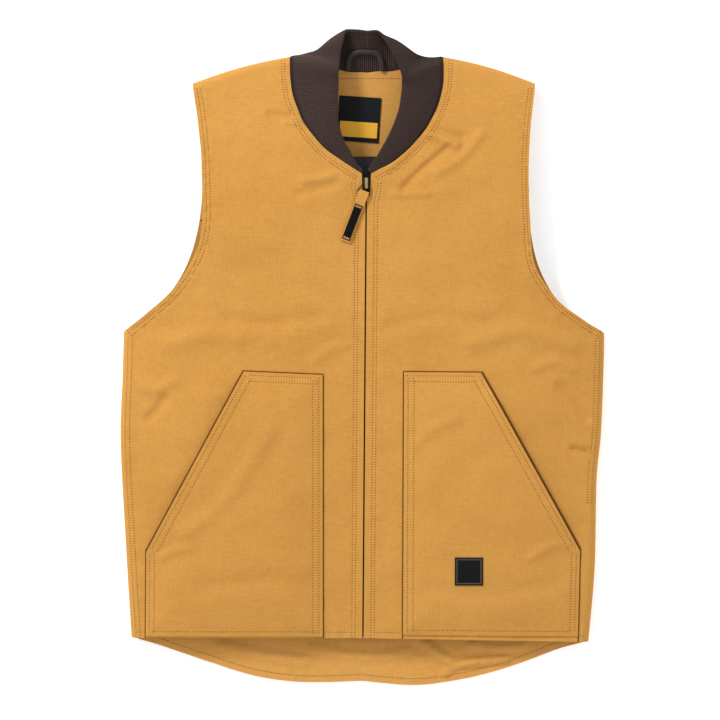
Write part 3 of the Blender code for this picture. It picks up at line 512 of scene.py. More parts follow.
rightHalf, backArmpitRow, backNeckRow = backGrid("right", backCloth["step"])
leftHalf, _, _ = backGrid("left", backCloth["step"])
backFlat = np.concatenate([rightHalf[:, ::-1], leftHalf], axis=1)
halfColumns = rightHalf.shape[1]
yokeEdge = backNeckY - 0.1005
yokeStart = int(np.argmax(backFlat[:, halfColumns, 1] > yokeEdge))
fromMiddle = np.abs(backFlat[yokeStart, :, 0])
levelled = (yokeEdge - backFlat[yokeStart, :, 1]) * (1 - smoothStep((fromMiddle - 0.09) / 0.06))
rowNumber = np.arange(len(backFlat))
below, above = (rowNumber - yokeStart) / 16 + 1, (backNeckRow - 1 - rowNumber) / (backNeckRow - 1 - yokeStart)
# The facing's lower edge runs level across the neck.
backFlat[..., 1] += smoothStep(np.minimum(below, above))[:, None] * levelled


def neckCells(low, high, trim):  # which cells of a stretch of the back are cloth, and its welded points
    keep = np.ones((high - low - 1, backFlat.shape[1] - 2 * trim - 1), bool)
    keep[:, halfColumns - trim - 1] = False
    last = min(high, backNeckRow) - low
    return {"keep": keep, "welds": [(row, halfColumns - trim, halfColumns - trim - 1) for row in range(last)]}


def backSurface(xy):
    soft = 0.0006 * (1 + ripple(xy, 0.09, 7.0, 1.4, 0.5)) + 0.0003 * (1 + ripple(xy, 0.035, 9.0))
    relief = np.maximum(foldCalm(xy, 2) * (soft + creaseRelief(xy, tailCreases)), 0)
    return backHeight(xy) + relief


def backHeight(xy):
    return foldRadius - roundRise(foldDistance(xy))


backBottom = lifted(backFlat, backSurface)
backNormal = -normalsOf(backBottom)
backNormal[:backArmpitRow, [0, -1], 2] = 0
backNormal = unit(backNormal)
piece = closedCloth("back", backBottom, backBottom - backNormal * shell, "duck canvas",
                    **neckCells(0, len(backFlat), 0))
declare(piece, "duck", "back_panel", flat=(0.60, 0.80), area=0.40)

# facings and lining inside the back
under = shell + gap
facingTop = backBottom - backNormal * (under + vest["facing"])
facingLow = backBottom - backNormal * under
tailEnd = int(np.argmax(backFlat[:, halfColumns, 1] > 0.006)) + 1
# the facings take a brighter copy of the duck: painted light against the shade inside the neck and under the
# front hem
for name, low, high, trim, flat, area in (("tail", 0, tailEnd, 6, (0.56, 0.07), 0.032),
                                          ("neck", yokeStart, len(backFlat), 1, (0.44, 0.13), 0.045)):
    part = np.s_[low:high, trim:-trim]
    piece = closedCloth(f"{name}Facing", facingTop[part], facingLow[part], "duck canvas inside painted brighter",
                        **neckCells(low, high, trim))
    surfaces[f"{name}Facing"] = piece
    declare(piece, "duck_facing", f"{name}_facing", flat=flat, area=area)
print("back laid")

# quilted lining

liningQuilt = {"pitch": 0.052, "puff": 0.0016, "backTrim": 4, "frontStart": 0.024, "zipTrim": 15,
               "sideTrim": 6}


def quiltDepth(grid):
    flat, pitch = grid.reshape(-1, 2), liningQuilt["pitch"]
    u, v = (flat[:, 0] + flat[:, 1]) / pitch, (flat[:, 0] - flat[:, 1]) / pitch
    near = np.minimum(np.abs(u - np.round(u)), np.abs(v - np.round(v))) * pitch
    puff = liningQuilt["puff"] * (np.sqrt(np.clip(near / (pitch / 2), 0, 1)) - 1)
    return (vest["lining"] + puff.reshape(grid.shape[:2]))[..., None]


def liningCloth(side, surface, normal, depth, part, **cells):
    piece = closedCloth(f"{side}Lining", (surface - normal * under)[part],
                        (surface - normal * (under + depth))[part], "quilted satin lining", **cells)
    declare(piece, "lining", f"lining_{side}")


depth, trim = quiltDepth(backFlat), liningQuilt["backTrim"]
depth[yokeStart - 1:] = vest["facing"] * 0.8  # thin where it is sewn to the facing and along the edges
depth[:, [trim, trim + 1, -trim - 2, -trim - 1]] = vest["facing"] * 0.8
liningCloth("back", backBottom, backNormal, depth, np.s_[tailEnd:yokeStart + 1, trim:-trim],
            **neckCells(tailEnd, yokeStart + 1, trim))
for side in sides:
    grid, top, normal = frontGrids[side]
    start = int(np.argmax(grid[:, 0, 1] > liningQuilt["frontStart"]))
    liningCloth(side, top, normal, quiltDepth(grid),
                np.s_[start:len(grid) - 1, liningQuilt["zipTrim"]:-liningQuilt["sideTrim"]])
print("lining quilted")

# patch pockets

pocketValues = {"puff": 0.0075, "puffReach": 0.055, "seat": 0.0006, "hem": 0.0020, "step": 0.0030,
                "edge": 0.0026, "edgeTurn": 0.012, "columns": 58, "hemStitches": 0.0060, "rowEnd": 0.0042,
                "lip": 0.0012, "inset": 0.0145, "firstRow": 0.0150, "lastRow": 0.0130, "tackIn": 0.0055}
pocketCreases = [
    ([(-210, 128), (-160, 170), (-110, 250)], 14, 0.9), ([(-190, 60), (-120, 70), (-60, 64)], 14, -0.7),
    ([(60, 230), (84, 250), (110, 262)], 10, 0.8), ([(80, 60), (150, 52), (230, 66)], 14, -0.7),
    ([(200, 96), (224, 110), (246, 112)], 7, 0.8), ([(-240, 96), (-226, 104), (-206, 108)], 7, 0.8),
]
# distances of the two stitch lines from each edge, and of the grid's columns from the sides
pocketOffsets = ((0.0048, 0.0118), (0.0042, 0.0112), (0.0042, 0.0116), (0.0042, 0.0100))
pocketColumns = [0, 0.0012, 0.0034, 0.0042, 0.005, 0.008, 0.0104, 0.0112, 0.0120]


def pocketCorners(side):
    corners = placed(pocketOutline[side], sides[side])
    corners[[0, -1], 1] += pocketValues["hem"]
    return corners


def pocketRim(xy, side):
    corners = pocketCorners(side)
    return lineDistance(xy, np.vstack([corners, corners[:1]]))


def pocketStanding(xy, side):
    corners = pocketCorners(side)
    sewn = np.vstack([corners[3:], corners[:3]])
    ease = np.clip(lineDistance(xy, sewn) / pocketValues["puffReach"], 0, 1)
    return pocketValues["seat"] + shell + pocketValues["puff"] * np.sin(ease * math.pi / 2)


pocketRows = {}
for side, sign in sides.items():
    corners = pocketCorners(side)
    pocketRows[side] = []
    for a, b, offsets in zip(corners, corners[1:], pocketOffsets):
        end = min(0.45, pocketValues["rowEnd"] / np.linalg.norm(b - a))
        pocketRows[side] += seamPair(np.linspace(a, b, 40), end, 1 - end, *(-sign * d for d in offsets))
    hemLine = np.linspace(corners[0], corners[4], 40) + np.array([0, pocketValues["hemStitches"]])
    pocketRows[side] += seamPair(hemLine, 0.03, 0.97, 0)


def pocketSurface(xy, side):
    corners = pocketCorners(side)
    base = frontHeight(xy) + 0.5 * frontRelief(xy, side) + pocketStanding(xy, side)
    relief = creaseRelief(xy, pocketCreases) + 0.0006 * ripple(xy, 0.07, 11.0, 1.4, 0.8)
    edges = puckers(xy, pocketRows[side], 0.018, 0.00022, 0.005)
    fromKnee = smoothStep(np.linalg.norm(xy - corners[2], axis=1) / 0.03)
    lip = pocketValues["lip"] * dome(lineDistance(xy, corners[2:4]), 0.010) * fromKnee
    return base + smoothStep(pocketRim(xy, side) / 0.02) * relief + edges + lip


def pocketGrid(side):
    c, fine = pocketCorners(side), np.array(pocketColumns)
    height = c[1][1] - c[0][1]
    rows = np.arange(pocketValues["firstRow"], height - pocketValues["lastRow"], pocketValues["step"])
    up = np.concatenate([fine, rows, height - fine[::-1]]) / height
    knee = (c[3][1] - c[4][1]) / (c[2][1] - c[4][1])
    inner = c[0] + (c[1] - c[0]) * up[:, None]
    outer = [c[4] + (c[3] - c[4]) * u / knee if u < knee else c[3] + (c[2] - c[3]) * (u - knee) / (1 - knee)
             for u in up]
    grid = []
    for a, b in zip(inner, outer):
        w = np.linalg.norm(b - a)
        middle = np.linspace(pocketValues["inset"], w - pocketValues["inset"], pocketValues["columns"])
        grid.append(a + (b - a) * (np.concatenate([fine, middle, w - fine[::-1]]) / w)[:, None])
    return np.array(grid)


for side in sides:
    grid = pocketGrid(side)
    flat = grid.reshape(-1, 2)
    top = lifted(grid, lambda xy: pocketSurface(xy, side))
    room = np.minimum(pocketStanding(flat, side), pocketValues["edge"])
    turned = smoothStep((pocketValues["edgeTurn"] - pocketRim(flat, side)) / 0.002)
    thickness = np.maximum(shell + (room - shell - 0.0003) * turned, 0.001).reshape(grid.shape[:2])
    piece = closedCloth(f"{side}Pocket", top, top - normalsOf(top) * thickness[..., None], "duck canvas")
    surfaces[f"{side}Pocket"] = piece
    declare(piece, "duck", f"pocket_{side}", flat=(0.215, 0.325), area=0.055)
print("pockets sewn on")

# rib-knit collar

collarValues = {"width": 0.060, "thickness": 0.0032, "ribPitch": 0.0024, "ribHeight": 0.00042, "perRib": 5,
                "bands": 16, "root": 0.0006, "evening": 70, "floor": 0.0004,
                "lean": [(0.0, 1.0), (0.9, 1.0), (1.03, 0.75), (1.1, 0.9), (1.2, 1.7), (1.32, 1.8),
                         (1.5, 1.2), (1.68, 1.8), (1.8, 1.4), (1.9, 0.9), (1.97, 0.75), (2.1, 1.0),
                         (3.0, 1.0)]}
# Thousandths: place along the neck seam, then shares of the width: step across, step up, rise, swell
collarTable = [
    (0, -40, 80, 30, 0), (80, 54, 88, 40, 10), (210, 240, 120, 80, 0), (365, 440, 136, 120, 35),
    (507, 622, 114, 160, 45), (640, 796, 60, 190, 50), (770, 902, -34, 220, 50), (876, 940, -120, 250, 60),
    (930, 940, -170, 250, 80), (1000, 950, -200, 480, 100), (1050, 830, -30, 510, 170),
    (1100, 680, 150, 530, 200), (1200, 434, 475, 500, 250), (1300, 180, 765, 460, 220),
    (1400, 60, 806, 450, 80), (1500, 0, 800, 450, 50), (1600, -90, 785, 450, 120),
    (1700, -248, 600, 470, 255), (1800, -430, 342, 500, 235), (1900, -610, 36, 520, 155),
    (2000, -810, -294, 480, 60), (2060, -792, -260, 260, 80), (2113, -808, -218, 250, 60),
    (2222, -802, -132, 230, 55), (2353, -740, -36, 200, 50), (2480, -656, 54, 170, 45),
    (2610, -544, 100, 130, 35), (2740, -404, 122, 90, 20), (2860, -254, 112, 50, 10), (3000, -40, 50, 30, 0),
]


def neckSeam():  # points along the whole neck seam, and the place of each from 0 to 3
    points, places = [], []
    for line, low, high, height in ((neckCurve["right"], 0, 1, frontHeight),
                                    (backNeck("right")[::-1], 1, 1.5, backHeight),
                                    (backNeck("left"), 1.5, 2, backHeight),
                                    (neckCurve["left"][::-1], 2, 3, frontHeight)):
        share = np.linspace(0, 1, 400)
        flat = along(line, share)
        points.append(np.column_stack([flat, height(flat)]))
        places.append(low + (high - low) * share)
    return np.vstack(points), np.concatenate(places)


def eased(values, reach):  # evens out kinks along the seam
    kernel = np.hanning(2 * reach + 1)
    padded = np.concatenate([np.repeat(values[:1], reach, 0), values, np.repeat(values[-1:], reach, 0)])
    return np.column_stack([np.convolve(axis, kernel / kernel.sum(), "valid") for axis in padded.T])


seamPoints, seamPlaces = neckSeam()
seamRun = runOf(seamPoints)
ribCount = int(seamRun[-1] / collarValues["ribPitch"])
fineRun = np.linspace(0, seamRun[-1], ribCount * collarValues["perRib"] + 1)
collarRoot = sampled(seamPoints, seamRun, fineRun)
collarPlaces = np.interp(fineRun, seamRun, seamPlaces)
table = curveThrough(thousandths(collarTable))
shape = eased(sampled(table[:, 1:], table[:, 0], collarPlaces), 10) * collarValues["width"]
freeEdge = collarRoot + shape[:, :3]
fromShoulder = np.abs(np.abs(collarPlaces - 1.5) - 0.5)
atShoulder = smoothStep((0.22 - fromShoulder) / 0.14)
freeEdge += (eased(freeEdge, collarValues["evening"]) - freeEdge) * atShoulder[:, None]
step = freeEdge - collarRoot
outward = np.cross(step, eased(np.gradient(collarRoot + step * 0.6, axis=0), 30))
outward = unit(eased(unit(outward), 44))
shares = np.linspace(0, 1, collarValues["bands"] + 1)
shares[0] = collarValues["root"] / collarValues["width"]
lean = np.interp(collarPlaces, *np.array(collarValues["lean"]).T)[:, None]  # below 1 it bulges near the seam
bow = shares ** lean * (1 - shares) * (1 + lean) * ((1 + lean) / lean) ** lean
collarMiddle = collarRoot[:, None] + step[:, None] * shares[:, None] + \
    outward[:, None] * (shape[:, 3:] * bow)[..., None]
collarMiddle[..., 2] = np.maximum(collarMiddle[..., 2], collarValues["floor"])
collarNormal = unit(np.cross(np.gradient(collarMiddle, axis=1), np.gradient(collarMiddle, axis=0)))
wave = np.cos(2 * math.pi * np.arange(len(fineRun)) / collarValues["perRib"])
rib = collarValues["ribHeight"] * wave[:, None] * smoothStep(shares / 0.04)
collarOut = collarMiddle + collarNormal * rib[..., None]
collarIn = collarMiddle - collarNormal * (collarValues["thickness"] + rib)[..., None]
rimCentre = collarMiddle[:, -1] - collarNormal[:, -1] * collarValues["thickness"] / 2
rimOut = unit(collarMiddle[:, -1] - collarMiddle[:, -2])
half = (collarValues["thickness"] / 2 + rib[:, -1])[:, None]
rim = [rimCentre + half * (math.cos(a) * collarNormal[:, -1] + math.sin(a) * rimOut)
       for a in np.radians([45, 90, 135])]


def only(piece):
    if bpy.context.mode != "OBJECT":
        bpy.ops.object.mode_set(mode="OBJECT")
    bpy.ops.object.select_all(action="DESELECT")
    piece.select_set(True)
    bpy.context.view_layer.objects.active = piece


def closedBand(name, loops, finish, uv=None):  # rows of points round a section, capped at both ends
    rows, cols = loops.shape[:2]
    ids = np.arange(rows * cols).reshape(rows, cols)
    after = np.roll(ids, -1, axis=1)
    faces = np.stack([ids[:-1], after[:-1], after[1:], ids[1:]], axis=-1).reshape(-1, 4).tolist()
    faces += [ids[0][::-1].tolist(), ids[-1].tolist()]
    piece = newPiece(name, loops.reshape(-1, 3), faces, finish, uv)
    only(piece)
    bpy.ops.object.mode_set(mode="EDIT")
    bpy.ops.mesh.select_all(action="SELECT")
    bpy.ops.mesh.normals_make_consistent(inside=False)
    bpy.ops.object.mode_set(mode="OBJECT")
    return piece


loops = np.concatenate([collarOut, np.stack(rim, axis=1), collarIn[:, ::-1]], axis=1)
acrossUv = np.concatenate([shares, [1.01, 1.03, 1.05], 2.06 - shares[::-1]]) * collarValues["width"]
collarUv = np.column_stack([np.repeat(fineRun, len(acrossUv)), np.tile(acrossUv, len(fineRun))])
piece = closedBand("ribCollar", loops, "rib knit", collarUv)
declare(piece, "rib_knit", "collar", flat=(0.56, 0.066), area=0.034)
print("collar knitted")

# hanger loop

loopValues = {"thickness": 0.0048, "wide": 0.62, "flat": 0.40, "lift": 0.0010, "sides": 12, "steps": 60}
loopPath = [(1.376, 0.04), (1.381, 0.27), (1.418, 0.45), (1.487, 0.53), (1.552, 0.46), (1.588, 0.28),
            (1.596, 0.04)]  # place along the neck seam, share of the collar's width


def insideCollar(place, share):
    row = int(np.argmin(np.abs(collarPlaces - place)))
    column = share * collarValues["bands"]
    low = int(column)
    point = collarMiddle[row, low] * (1 - column + low) + collarMiddle[row, low + 1] * (column - low)
    return point - collarValues["thickness"] * collarNormal[row, low], -collarNormal[row, low]


loopMarks = np.linspace(0, 1, loopValues["steps"])
seats = [insideCollar(*place) for place in along(curveThrough(loopPath), loopMarks)]
centres = eased(np.array([p + n * (loopValues["thickness"] / 2 + loopValues["lift"]) for p, n in seats]), 3)
run = unit(np.gradient(centres, axis=0))
across = unit(np.cross(run, eased(np.array([n for _, n in seats]), 4)))
up = np.cross(across, run)
wide, thin = (loopValues["thickness"] * loopValues[key] for key in ("wide", "flat"))
tube = np.stack([centres + wide * math.cos(a) * across + thin * math.sin(a) * up
                 for a in np.linspace(0, 2 * math.pi, loopValues["sides"], endpoint=False)], axis=1)
piece = closedBand("hangerLoop", tube, "loop braid")
declare(piece, "lining", "hanger_loop")
print("hanger loop sewn in")

# woven labels, left bare

labelValues = {"neckSize": (0.050, 0.054), "neckDrop": 0.029, "neckShift": -0.0045, "neckTurn": -3.7,
               "neckThickness": 0.0007, "patch": 0.0335, "patchPlace": (0.1262, 0.0802),
               "patchThickness": 0.0012}


def labelGrid(centre, size, turn, count, height):
    u, v = np.meshgrid(np.linspace(-0.5, 0.5, count), np.linspace(-0.5, 0.5, count))
    c, s = headingOf(math.radians(turn))
    x, y = u * size[0], v * size[1]
    turned = np.dstack([centre[0] + x * c - y * s, centre[1] + x * s + y * c])
    return lifted(turned, height), np.dstack([u, v])


seat = shell + vest["facing"] + 3 * gap
centre = (labelValues["neckShift"], backNeckY - labelValues["neckDrop"] - labelValues["neckSize"][1] / 2)
low, uv = labelGrid(centre, labelValues["neckSize"], labelValues["neckTurn"], 32,
                    lambda xy: backSurface(xy) + seat + 0.0008 * (1 + ripple(xy, 0.04, 4.0)) * 0.4)
piece = closedCloth("neckLabel", low + np.array([0, 0, labelValues["neckThickness"]]), low, "woven label", uv)
declare(piece, "woven_label", "neck_label", flat=labelValues["neckSize"])
size = (labelValues["patch"], labelValues["patch"])
low, uv = labelGrid(labelValues["patchPlace"], size, 0.0, 60, lambda xy: pocketSurface(xy, "left") + 0.0003)
reach = np.abs(uv).max(axis=2)
border = smoothStep((reach - 0.40) / 0.02) * smoothStep((0.49 - reach) / 0.02)
high = low.copy()
high[..., 2] += labelValues["patchThickness"] * (0.62 + 0.38 * border)
piece = closedCloth("pocketPatch", high, low, "rubber patch", uv)
declare(piece, "woven_label", "pocket_label", flat=size)
print("labels sewn on")

# zip: tapes, teeth, slider, ring and strap

zipParts = {"toothWidth": 0.0031, "toothLength": 0.00115, "toothDepth": 0.0020, "toothPitch": 0.0026,
            "toothShift": 0.00075, "firstTooth": 0.0022, "teethBelow": 0.0022,
            "sliderFoot": 0.0064, "sliderDepth": 0.0052, "sliderStanding": 0.0020, "bridgeLength": 0.0128,
            "bridgeWidth": 0.0036, "bridge": 0.0013, "bridgeLegs": 0.0010, "bow": 0.0005, "endDip": 0.0006,
            "narrowing": 0.22, "bar": 0.0014, "plate": 0.0012, "ringTop": 0.0108, "tabShare": 0.92,
            "sliderCorner": 0.0032, "sliderRim": 0.0009, "ringCorner": 0.0012}
edgeRounding = {"tooth": 0.00035, "slider": 0.0006, "bridge": 0.0004, "ring": 0.00035, "tab": 0.0003}
strapValues = {"width": 0.0122, "length": 0.0620, "ply": 0.0010, "seat": 0.0006, "heading": -111.0,
               "labelWidth": 0.0097, "labelFrom": 0.0155, "labelTo": 0.0600, "label": 0.0006,
               "tacks": (0.0172, 0.0180, 0.0188, 0.0570, 0.0578, 0.0586)}
for side, sign in sides.items():
    y = np.linspace(0.001, neckBaseY - 0.001, 120)
    start = zipValues["teethWidth"] / 2 + gap
    x = np.linspace(start, start + zipValues["tapeWidth"] - 0.001, 6)
    spreading = (zipHalfGap(y) - zipValues["halfGap"])[:, None]
    flat = np.dstack([zipMiddle(y)[:, None] + sign * (x[None] + spreading), np.repeat(y[:, None], 6, 1)])
    top = lifted(flat, lambda xy: frontSurface(xy, side) - shell - gap)
    piece = closedCloth(f"{side}ZipTape", top, top - np.array([0, 0, zipValues["tape"]]), "zip tape")
    declare(piece, "zip_tape", f"zip_tape_{side}", flat=(0.0125, 0.553))


def applyPlace(piece):
    only(piece)
    bpy.ops.object.transform_apply(location=True, rotation=True, scale=True)
    return piece


def box(name, centre, size):
    bpy.ops.object.select_all(action="DESELECT")
    bpy.ops.mesh.primitive_cube_add(size=1, location=centre)
    piece = bpy.context.object
    piece.name = piece.data.name = name
    piece.scale = size
    return applyPlace(piece)


def bevelled(piece, width, segments, angle=30):
    only(piece)
    bevel = piece.modifiers.new("bevel", "BEVEL")
    bevel.width, bevel.segments = width, segments
    bevel.limit_method, bevel.angle_limit = "ANGLE", math.radians(angle)
    bpy.ops.object.modifier_apply(modifier="bevel")


def selectBy(piece, kind, test):  # selects what passes the test, in edit mode
    only(piece)
    bpy.ops.object.mode_set(mode="EDIT")
    bpy.ops.mesh.select_mode(type=kind)
    bpy.ops.mesh.select_all(action="DESELECT")
    bpy.ops.object.mode_set(mode="OBJECT")
    groups = {"FACE": piece.data.polygons, "VERT": piece.data.vertices, "EDGE": piece.data.edges}
    for part in groups[kind]:
        part.select = bool(test(part))
    bpy.ops.object.mode_set(mode="EDIT")


def upright(piece, edge):
    low, high = (piece.data.vertices[i].co.z for i in edge.vertices)
    return abs(low - high) > 0.001


def finishMetal(piece, other, node):
    only(piece)
    other.select_set(True)
    bpy.ops.object.join()
    piece.data.shade_smooth()
    piece.data.set_sharp_from_angle(angle=math.radians(35))
    declare(piece, "zip_metal", node)


def copiesOf(name, pattern, places, finish, slotName="duck", node=None):  # one mesh of many copies of a shape
    points = np.array([v.co[:] for v in pattern.data.vertices])
    faces = [list(p.vertices) for p in pattern.data.polygons]
    copies = [spot + points[:, :1] * run + points[:, 1:2] * across + points[:, 2:] * up
              for spot, run, across, up in places]
    allFaces = [[i + k * len(points) for i in face] for k in range(len(places)) for face in faces]
    declare(newPiece(name, np.vstack(copies), allFaces, finish), slotName, node)


tooth = box("tooth", (0, 0, 0), [zipParts[key] for key in ("toothWidth", "toothLength", "toothDepth")])
bevelled(tooth, edgeRounding["tooth"], 1)
places = []
for k in range(int((sliderFootY - 0.003) / (zipParts["toothPitch"] / 2))):
    y = zipParts["firstTooth"] + k * zipParts["toothPitch"] / 2
    sign = 1 if k % 2 else -1
    z = frontHeight(np.array([[zipMiddle(y) + 0.0014, y]]))[0] - shell - zipParts["teethBelow"]
    spot = np.array([zipMiddle(y) + sign * zipParts["toothShift"], y, z])
    places.append((spot, np.array([sign, 0, 0]), np.array([0, 1.0, 0]), np.array([0, 0, 1.0])))
copiesOf("zipTeeth", tooth, places, "antique brass", "zip_metal", "zip_teeth")
bpy.data.objects.remove(tooth)

sliderY = sliderFootY + zipValues["sliderLength"] / 2
sliderX = zipMiddle(sliderY)
sliderTop = float(frontHeight(np.array([[sliderX, sliderY]]))[0]) + zipParts["sliderStanding"]
spot = Vector((sliderX + vest["middle"][0], sliderY + vest["middle"][1], sliderTop))
centre = spot - Vector((0, 0, zipParts["sliderDepth"] / 2))
size = (zipValues["sliderWidth"], zipValues["sliderLength"], zipParts["sliderDepth"])
slider = box("zipSlider", centre, size)
selectBy(slider, "VERT", lambda v: v.co.y < centre.y)
bpy.ops.transform.resize(value=(zipParts["sliderFoot"] / size[0], 1, 1), center_override=centre)
selectBy(slider, "EDGE", lambda e: upright(slider, e)
         and all(slider.data.vertices[i].co.y > centre.y for i in e.vertices))
bpy.ops.mesh.bevel(offset=zipParts["sliderCorner"], segments=4, affect="EDGES")
selectBy(slider, "FACE", lambda f: abs(f.normal.z) > 0.9)
bpy.ops.mesh.inset(thickness=zipParts["sliderRim"], depth=0.0)
bpy.ops.mesh.extrude_region_move(TRANSFORM_OT_translate={"value": (0, 0, 0)})
bpy.ops.object.mode_set(mode="OBJECT")
bevelled(slider, edgeRounding["slider"], 3, 50)

rise = zipParts["plate"] + 2 * gap
halfBridge, thick = zipParts["bridgeLength"] / 2, zipParts["bridge"]
size = (zipParts["bridgeWidth"], 2 * halfBridge, thick)
bridge = box("bridge", spot + Vector((0, 0, rise + thick / 2)), size)
bpy.ops.object.mode_set(mode="EDIT")
bpy.ops.mesh.select_all(action="SELECT")
bpy.ops.mesh.subdivide(number_cuts=9)
selectBy(bridge, "FACE", lambda f: f.normal.z < -0.9 and abs(f.center.y - spot.y) > halfBridge - thick)
bpy.ops.mesh.extrude_region_move(TRANSFORM_OT_translate={"value": (0, 0, -rise - zipParts["bridgeLegs"])})
bpy.ops.object.mode_set(mode="OBJECT")
for vertex in bridge.data.vertices:  # the bridge bows up a little and narrows at its ends
    share = (vertex.co.y - spot.y) / halfBridge
    if vertex.co.z > spot.z + rise - 0.0004:
        vertex.co.z += zipParts["bow"] * (1 - share ** 2) - zipParts["endDip"] * abs(share) ** 6
    vertex.co.x = spot.x + (vertex.co.x - spot.x) * (1 - zipParts["narrowing"] * share ** 2)
bevelled(bridge, edgeRounding["bridge"], 2, 50)
slider.data.materials.append(material("antique brass"))
# the bridge's paler brass is a painted highlight
bridge.data.materials.append(material("brass with painted highlight"))
finishMetal(slider, bridge, "zip_slider")

bar, plate, ply = zipParts["bar"], zipParts["plate"], strapValues["ply"]
heading = math.radians(strapValues["heading"])
lean = abs(heading + math.pi / 2)
slant = zipParts["bridgeWidth"] / 2 * math.tan(lean) + bar / 2 / math.cos(lean)
hung = halfBridge - thick - slant - gap
turnRadius = math.hypot(bar, plate) / 2 + 2 * gap + ply / 2
foot = zipValues["sliderLength"] / 2 - hung + zipParts["sliderFoot"] / 2 * math.tan(lean)
reach = foot / math.cos(lean) + turnRadius + ply / 2 + gap
ringSpot = np.array([spot.x, spot.y - hung, sliderTop + gap + plate / 2])
footWidth = strapValues["width"] + 2 * bar + 6 * gap
ring = box("zipRing", (reach / 2, 0, 0), (reach + bar, footWidth, plate))
selectBy(ring, "VERT", lambda v: v.co.x < 0)
bpy.ops.transform.resize(value=(1, zipParts["ringTop"] / footWidth, 1), center_override=(0, 0, 0))
selectBy(ring, "EDGE", lambda e: upright(ring, e))
bpy.ops.mesh.bevel(offset=zipParts["ringCorner"], segments=3, affect="EDGES")
selectBy(ring, "FACE", lambda f: abs(f.normal.z) > 0.9)
bpy.ops.mesh.inset(thickness=bar, depth=0.0)
bpy.ops.mesh.bridge_edge_loops()
bpy.ops.object.mode_set(mode="OBJECT")
bevelled(ring, edgeRounding["ring"], 2, 40)
tabStart, tabEnd = bar / 2 + thick / math.cos(lean) + 2 * slant, reach - turnRadius - ply
size = (tabEnd - tabStart, zipParts["ringTop"] * zipParts["tabShare"], plate)
tab = box("tab", ((tabStart + tabEnd) / 2, 0, 0), size)
bevelled(tab, edgeRounding["tab"], 2)
for part in (ring, tab):
    part.rotation_euler, part.location = (0, 0, heading), ringSpot
    applyPlace(part)
    part.data.materials.append(material("antique brass"))
finishMetal(ring, tab, "zip_puller")

ahead = headingOf(heading)
aside = np.array([-ahead[1], ahead[0]])
barPlace, barZ = ringSpot[:2] - origin[:2] + reach * ahead, ringSpot[2]
stations = np.linspace(0, strapValues["length"], 34)
level = (ply + gap) / 2


def strapRest(s):  # height of the vest's front below the strap
    below = np.array([barPlace + ahead * s + aside * w * strapValues["width"] / 2 for w in (-1, 0, 1)])
    return frontHeight(below).max() + 0.0006


def band(path, width, thickness, columns=9):
    run = unit(np.gradient(path, axis=0))
    grids = []
    for offset in (thickness / 2, -thickness / 2):
        line = path + np.column_stack([-run[:, 1], run[:, 0]]) * offset
        w = np.linspace(-0.5, 0.5, columns) * width
        xy = barPlace + line[:, :1, None] * ahead + w[None, :, None] * aside
        grids.append(np.dstack([xy, np.repeat(line[:, 1:] + barZ, columns, 1)]))
    return grids


ease = smoothStep(stations / (strapValues["length"] / 3))
middleLine = np.array([strapRest(s) + strapValues["seat"] + level + ply / 2 - barZ for s in stations]) * ease
half = turnRadius + (level - turnRadius) * ease
upper = np.column_stack([stations, middleLine + half])
lower = np.column_stack([stations, middleLine - half])
bend = [(-turnRadius * math.sin(a), -turnRadius * math.cos(a)) for a in np.linspace(0, math.pi, 13)[1:-1]]
foldedPath = np.vstack([lower[::-1], bend, upper])
strap = closedCloth("pullStrap", *band(foldedPath, strapValues["width"], ply), "duck canvas")
declare(strap, "duck", "pull_strap")
covered = np.linspace(strapValues["labelFrom"], strapValues["labelTo"], 40)
seatHeight = np.interp(covered, *upper.T) + ply / 2 + gap + strapValues["label"] / 2
piece = closedCloth("pullLabel", *band(np.column_stack([covered, seatHeight]), strapValues["labelWidth"],
                                       strapValues["label"]), "woven tape")
declare(piece, "woven_label", "pull_label")
print("zip closed")

# stitches, modelled once and copied along each seam

stitchValues = {"length": 0.0022, "width": 0.00085, "height": 0.00060, "pitch": 0.0031, "lift": 0.00010,
                "holeLength": 0.0014, "holeWidth": 0.0012, "holeLift": 0.00016,
                "tackLift": 0.0003, "tackPitch": 0.0025, "tackStep": 0.0009, "tackWidth": 0.00495}
bpy.ops.object.select_all(action="DESELECT")
bpy.ops.mesh.primitive_cylinder_add(vertices=6, radius=0.5, depth=1, location=(0, 0, 0),
                                    rotation=(0, math.pi / 2, 0), end_fill_type="NGON")
stitch = applyPlace(bpy.context.object)
bpy.ops.object.mode_set(mode="EDIT")
bpy.ops.mesh.select_all(action="SELECT")
bpy.ops.mesh.bisect(plane_co=(0, 0, 0), plane_no=(1, 0, 0))
selectBy(stitch, "FACE", lambda f: abs(f.normal.x) > 0.9)
bpy.ops.transform.resize(value=(1, 0.45, 0.45), center_override=(0, 0, 0))
bpy.ops.transform.translate(value=(0, 0, -0.28))
bpy.ops.object.mode_set(mode="OBJECT")
stitch.scale = [stitchValues[key] for key in ("length", "width", "height")]
applyPlace(stitch)
# a flat dark disc: painted shade at each needle hole between stitches
bpy.ops.object.select_all(action="DESELECT")
bpy.ops.mesh.primitive_circle_add(vertices=6, radius=0.5, location=(0, 0, 0), fill_type="NGON")
hole = bpy.context.object
hole.scale = (stitchValues["holeLength"], stitchValues["holeWidth"], 1)
applyPlace(hole)


def stitchHoleShades(name, places):  # a dark dot of painted shade at the needle hole behind each stitch
    behind = [(spot - run * stitchValues["pitch"] / 2 + up * stitchValues["holeLift"], run, across, up)
              for spot, run, across, up in places]
    copiesOf(f"{name}HoleShades", hole, behind, "needle hole shade")


def surfaceTree(name):
    mesh = surfaces[name].data
    return BVHTree.FromPolygons([v.co for v in mesh.vertices], [p.vertices for p in mesh.polygons])


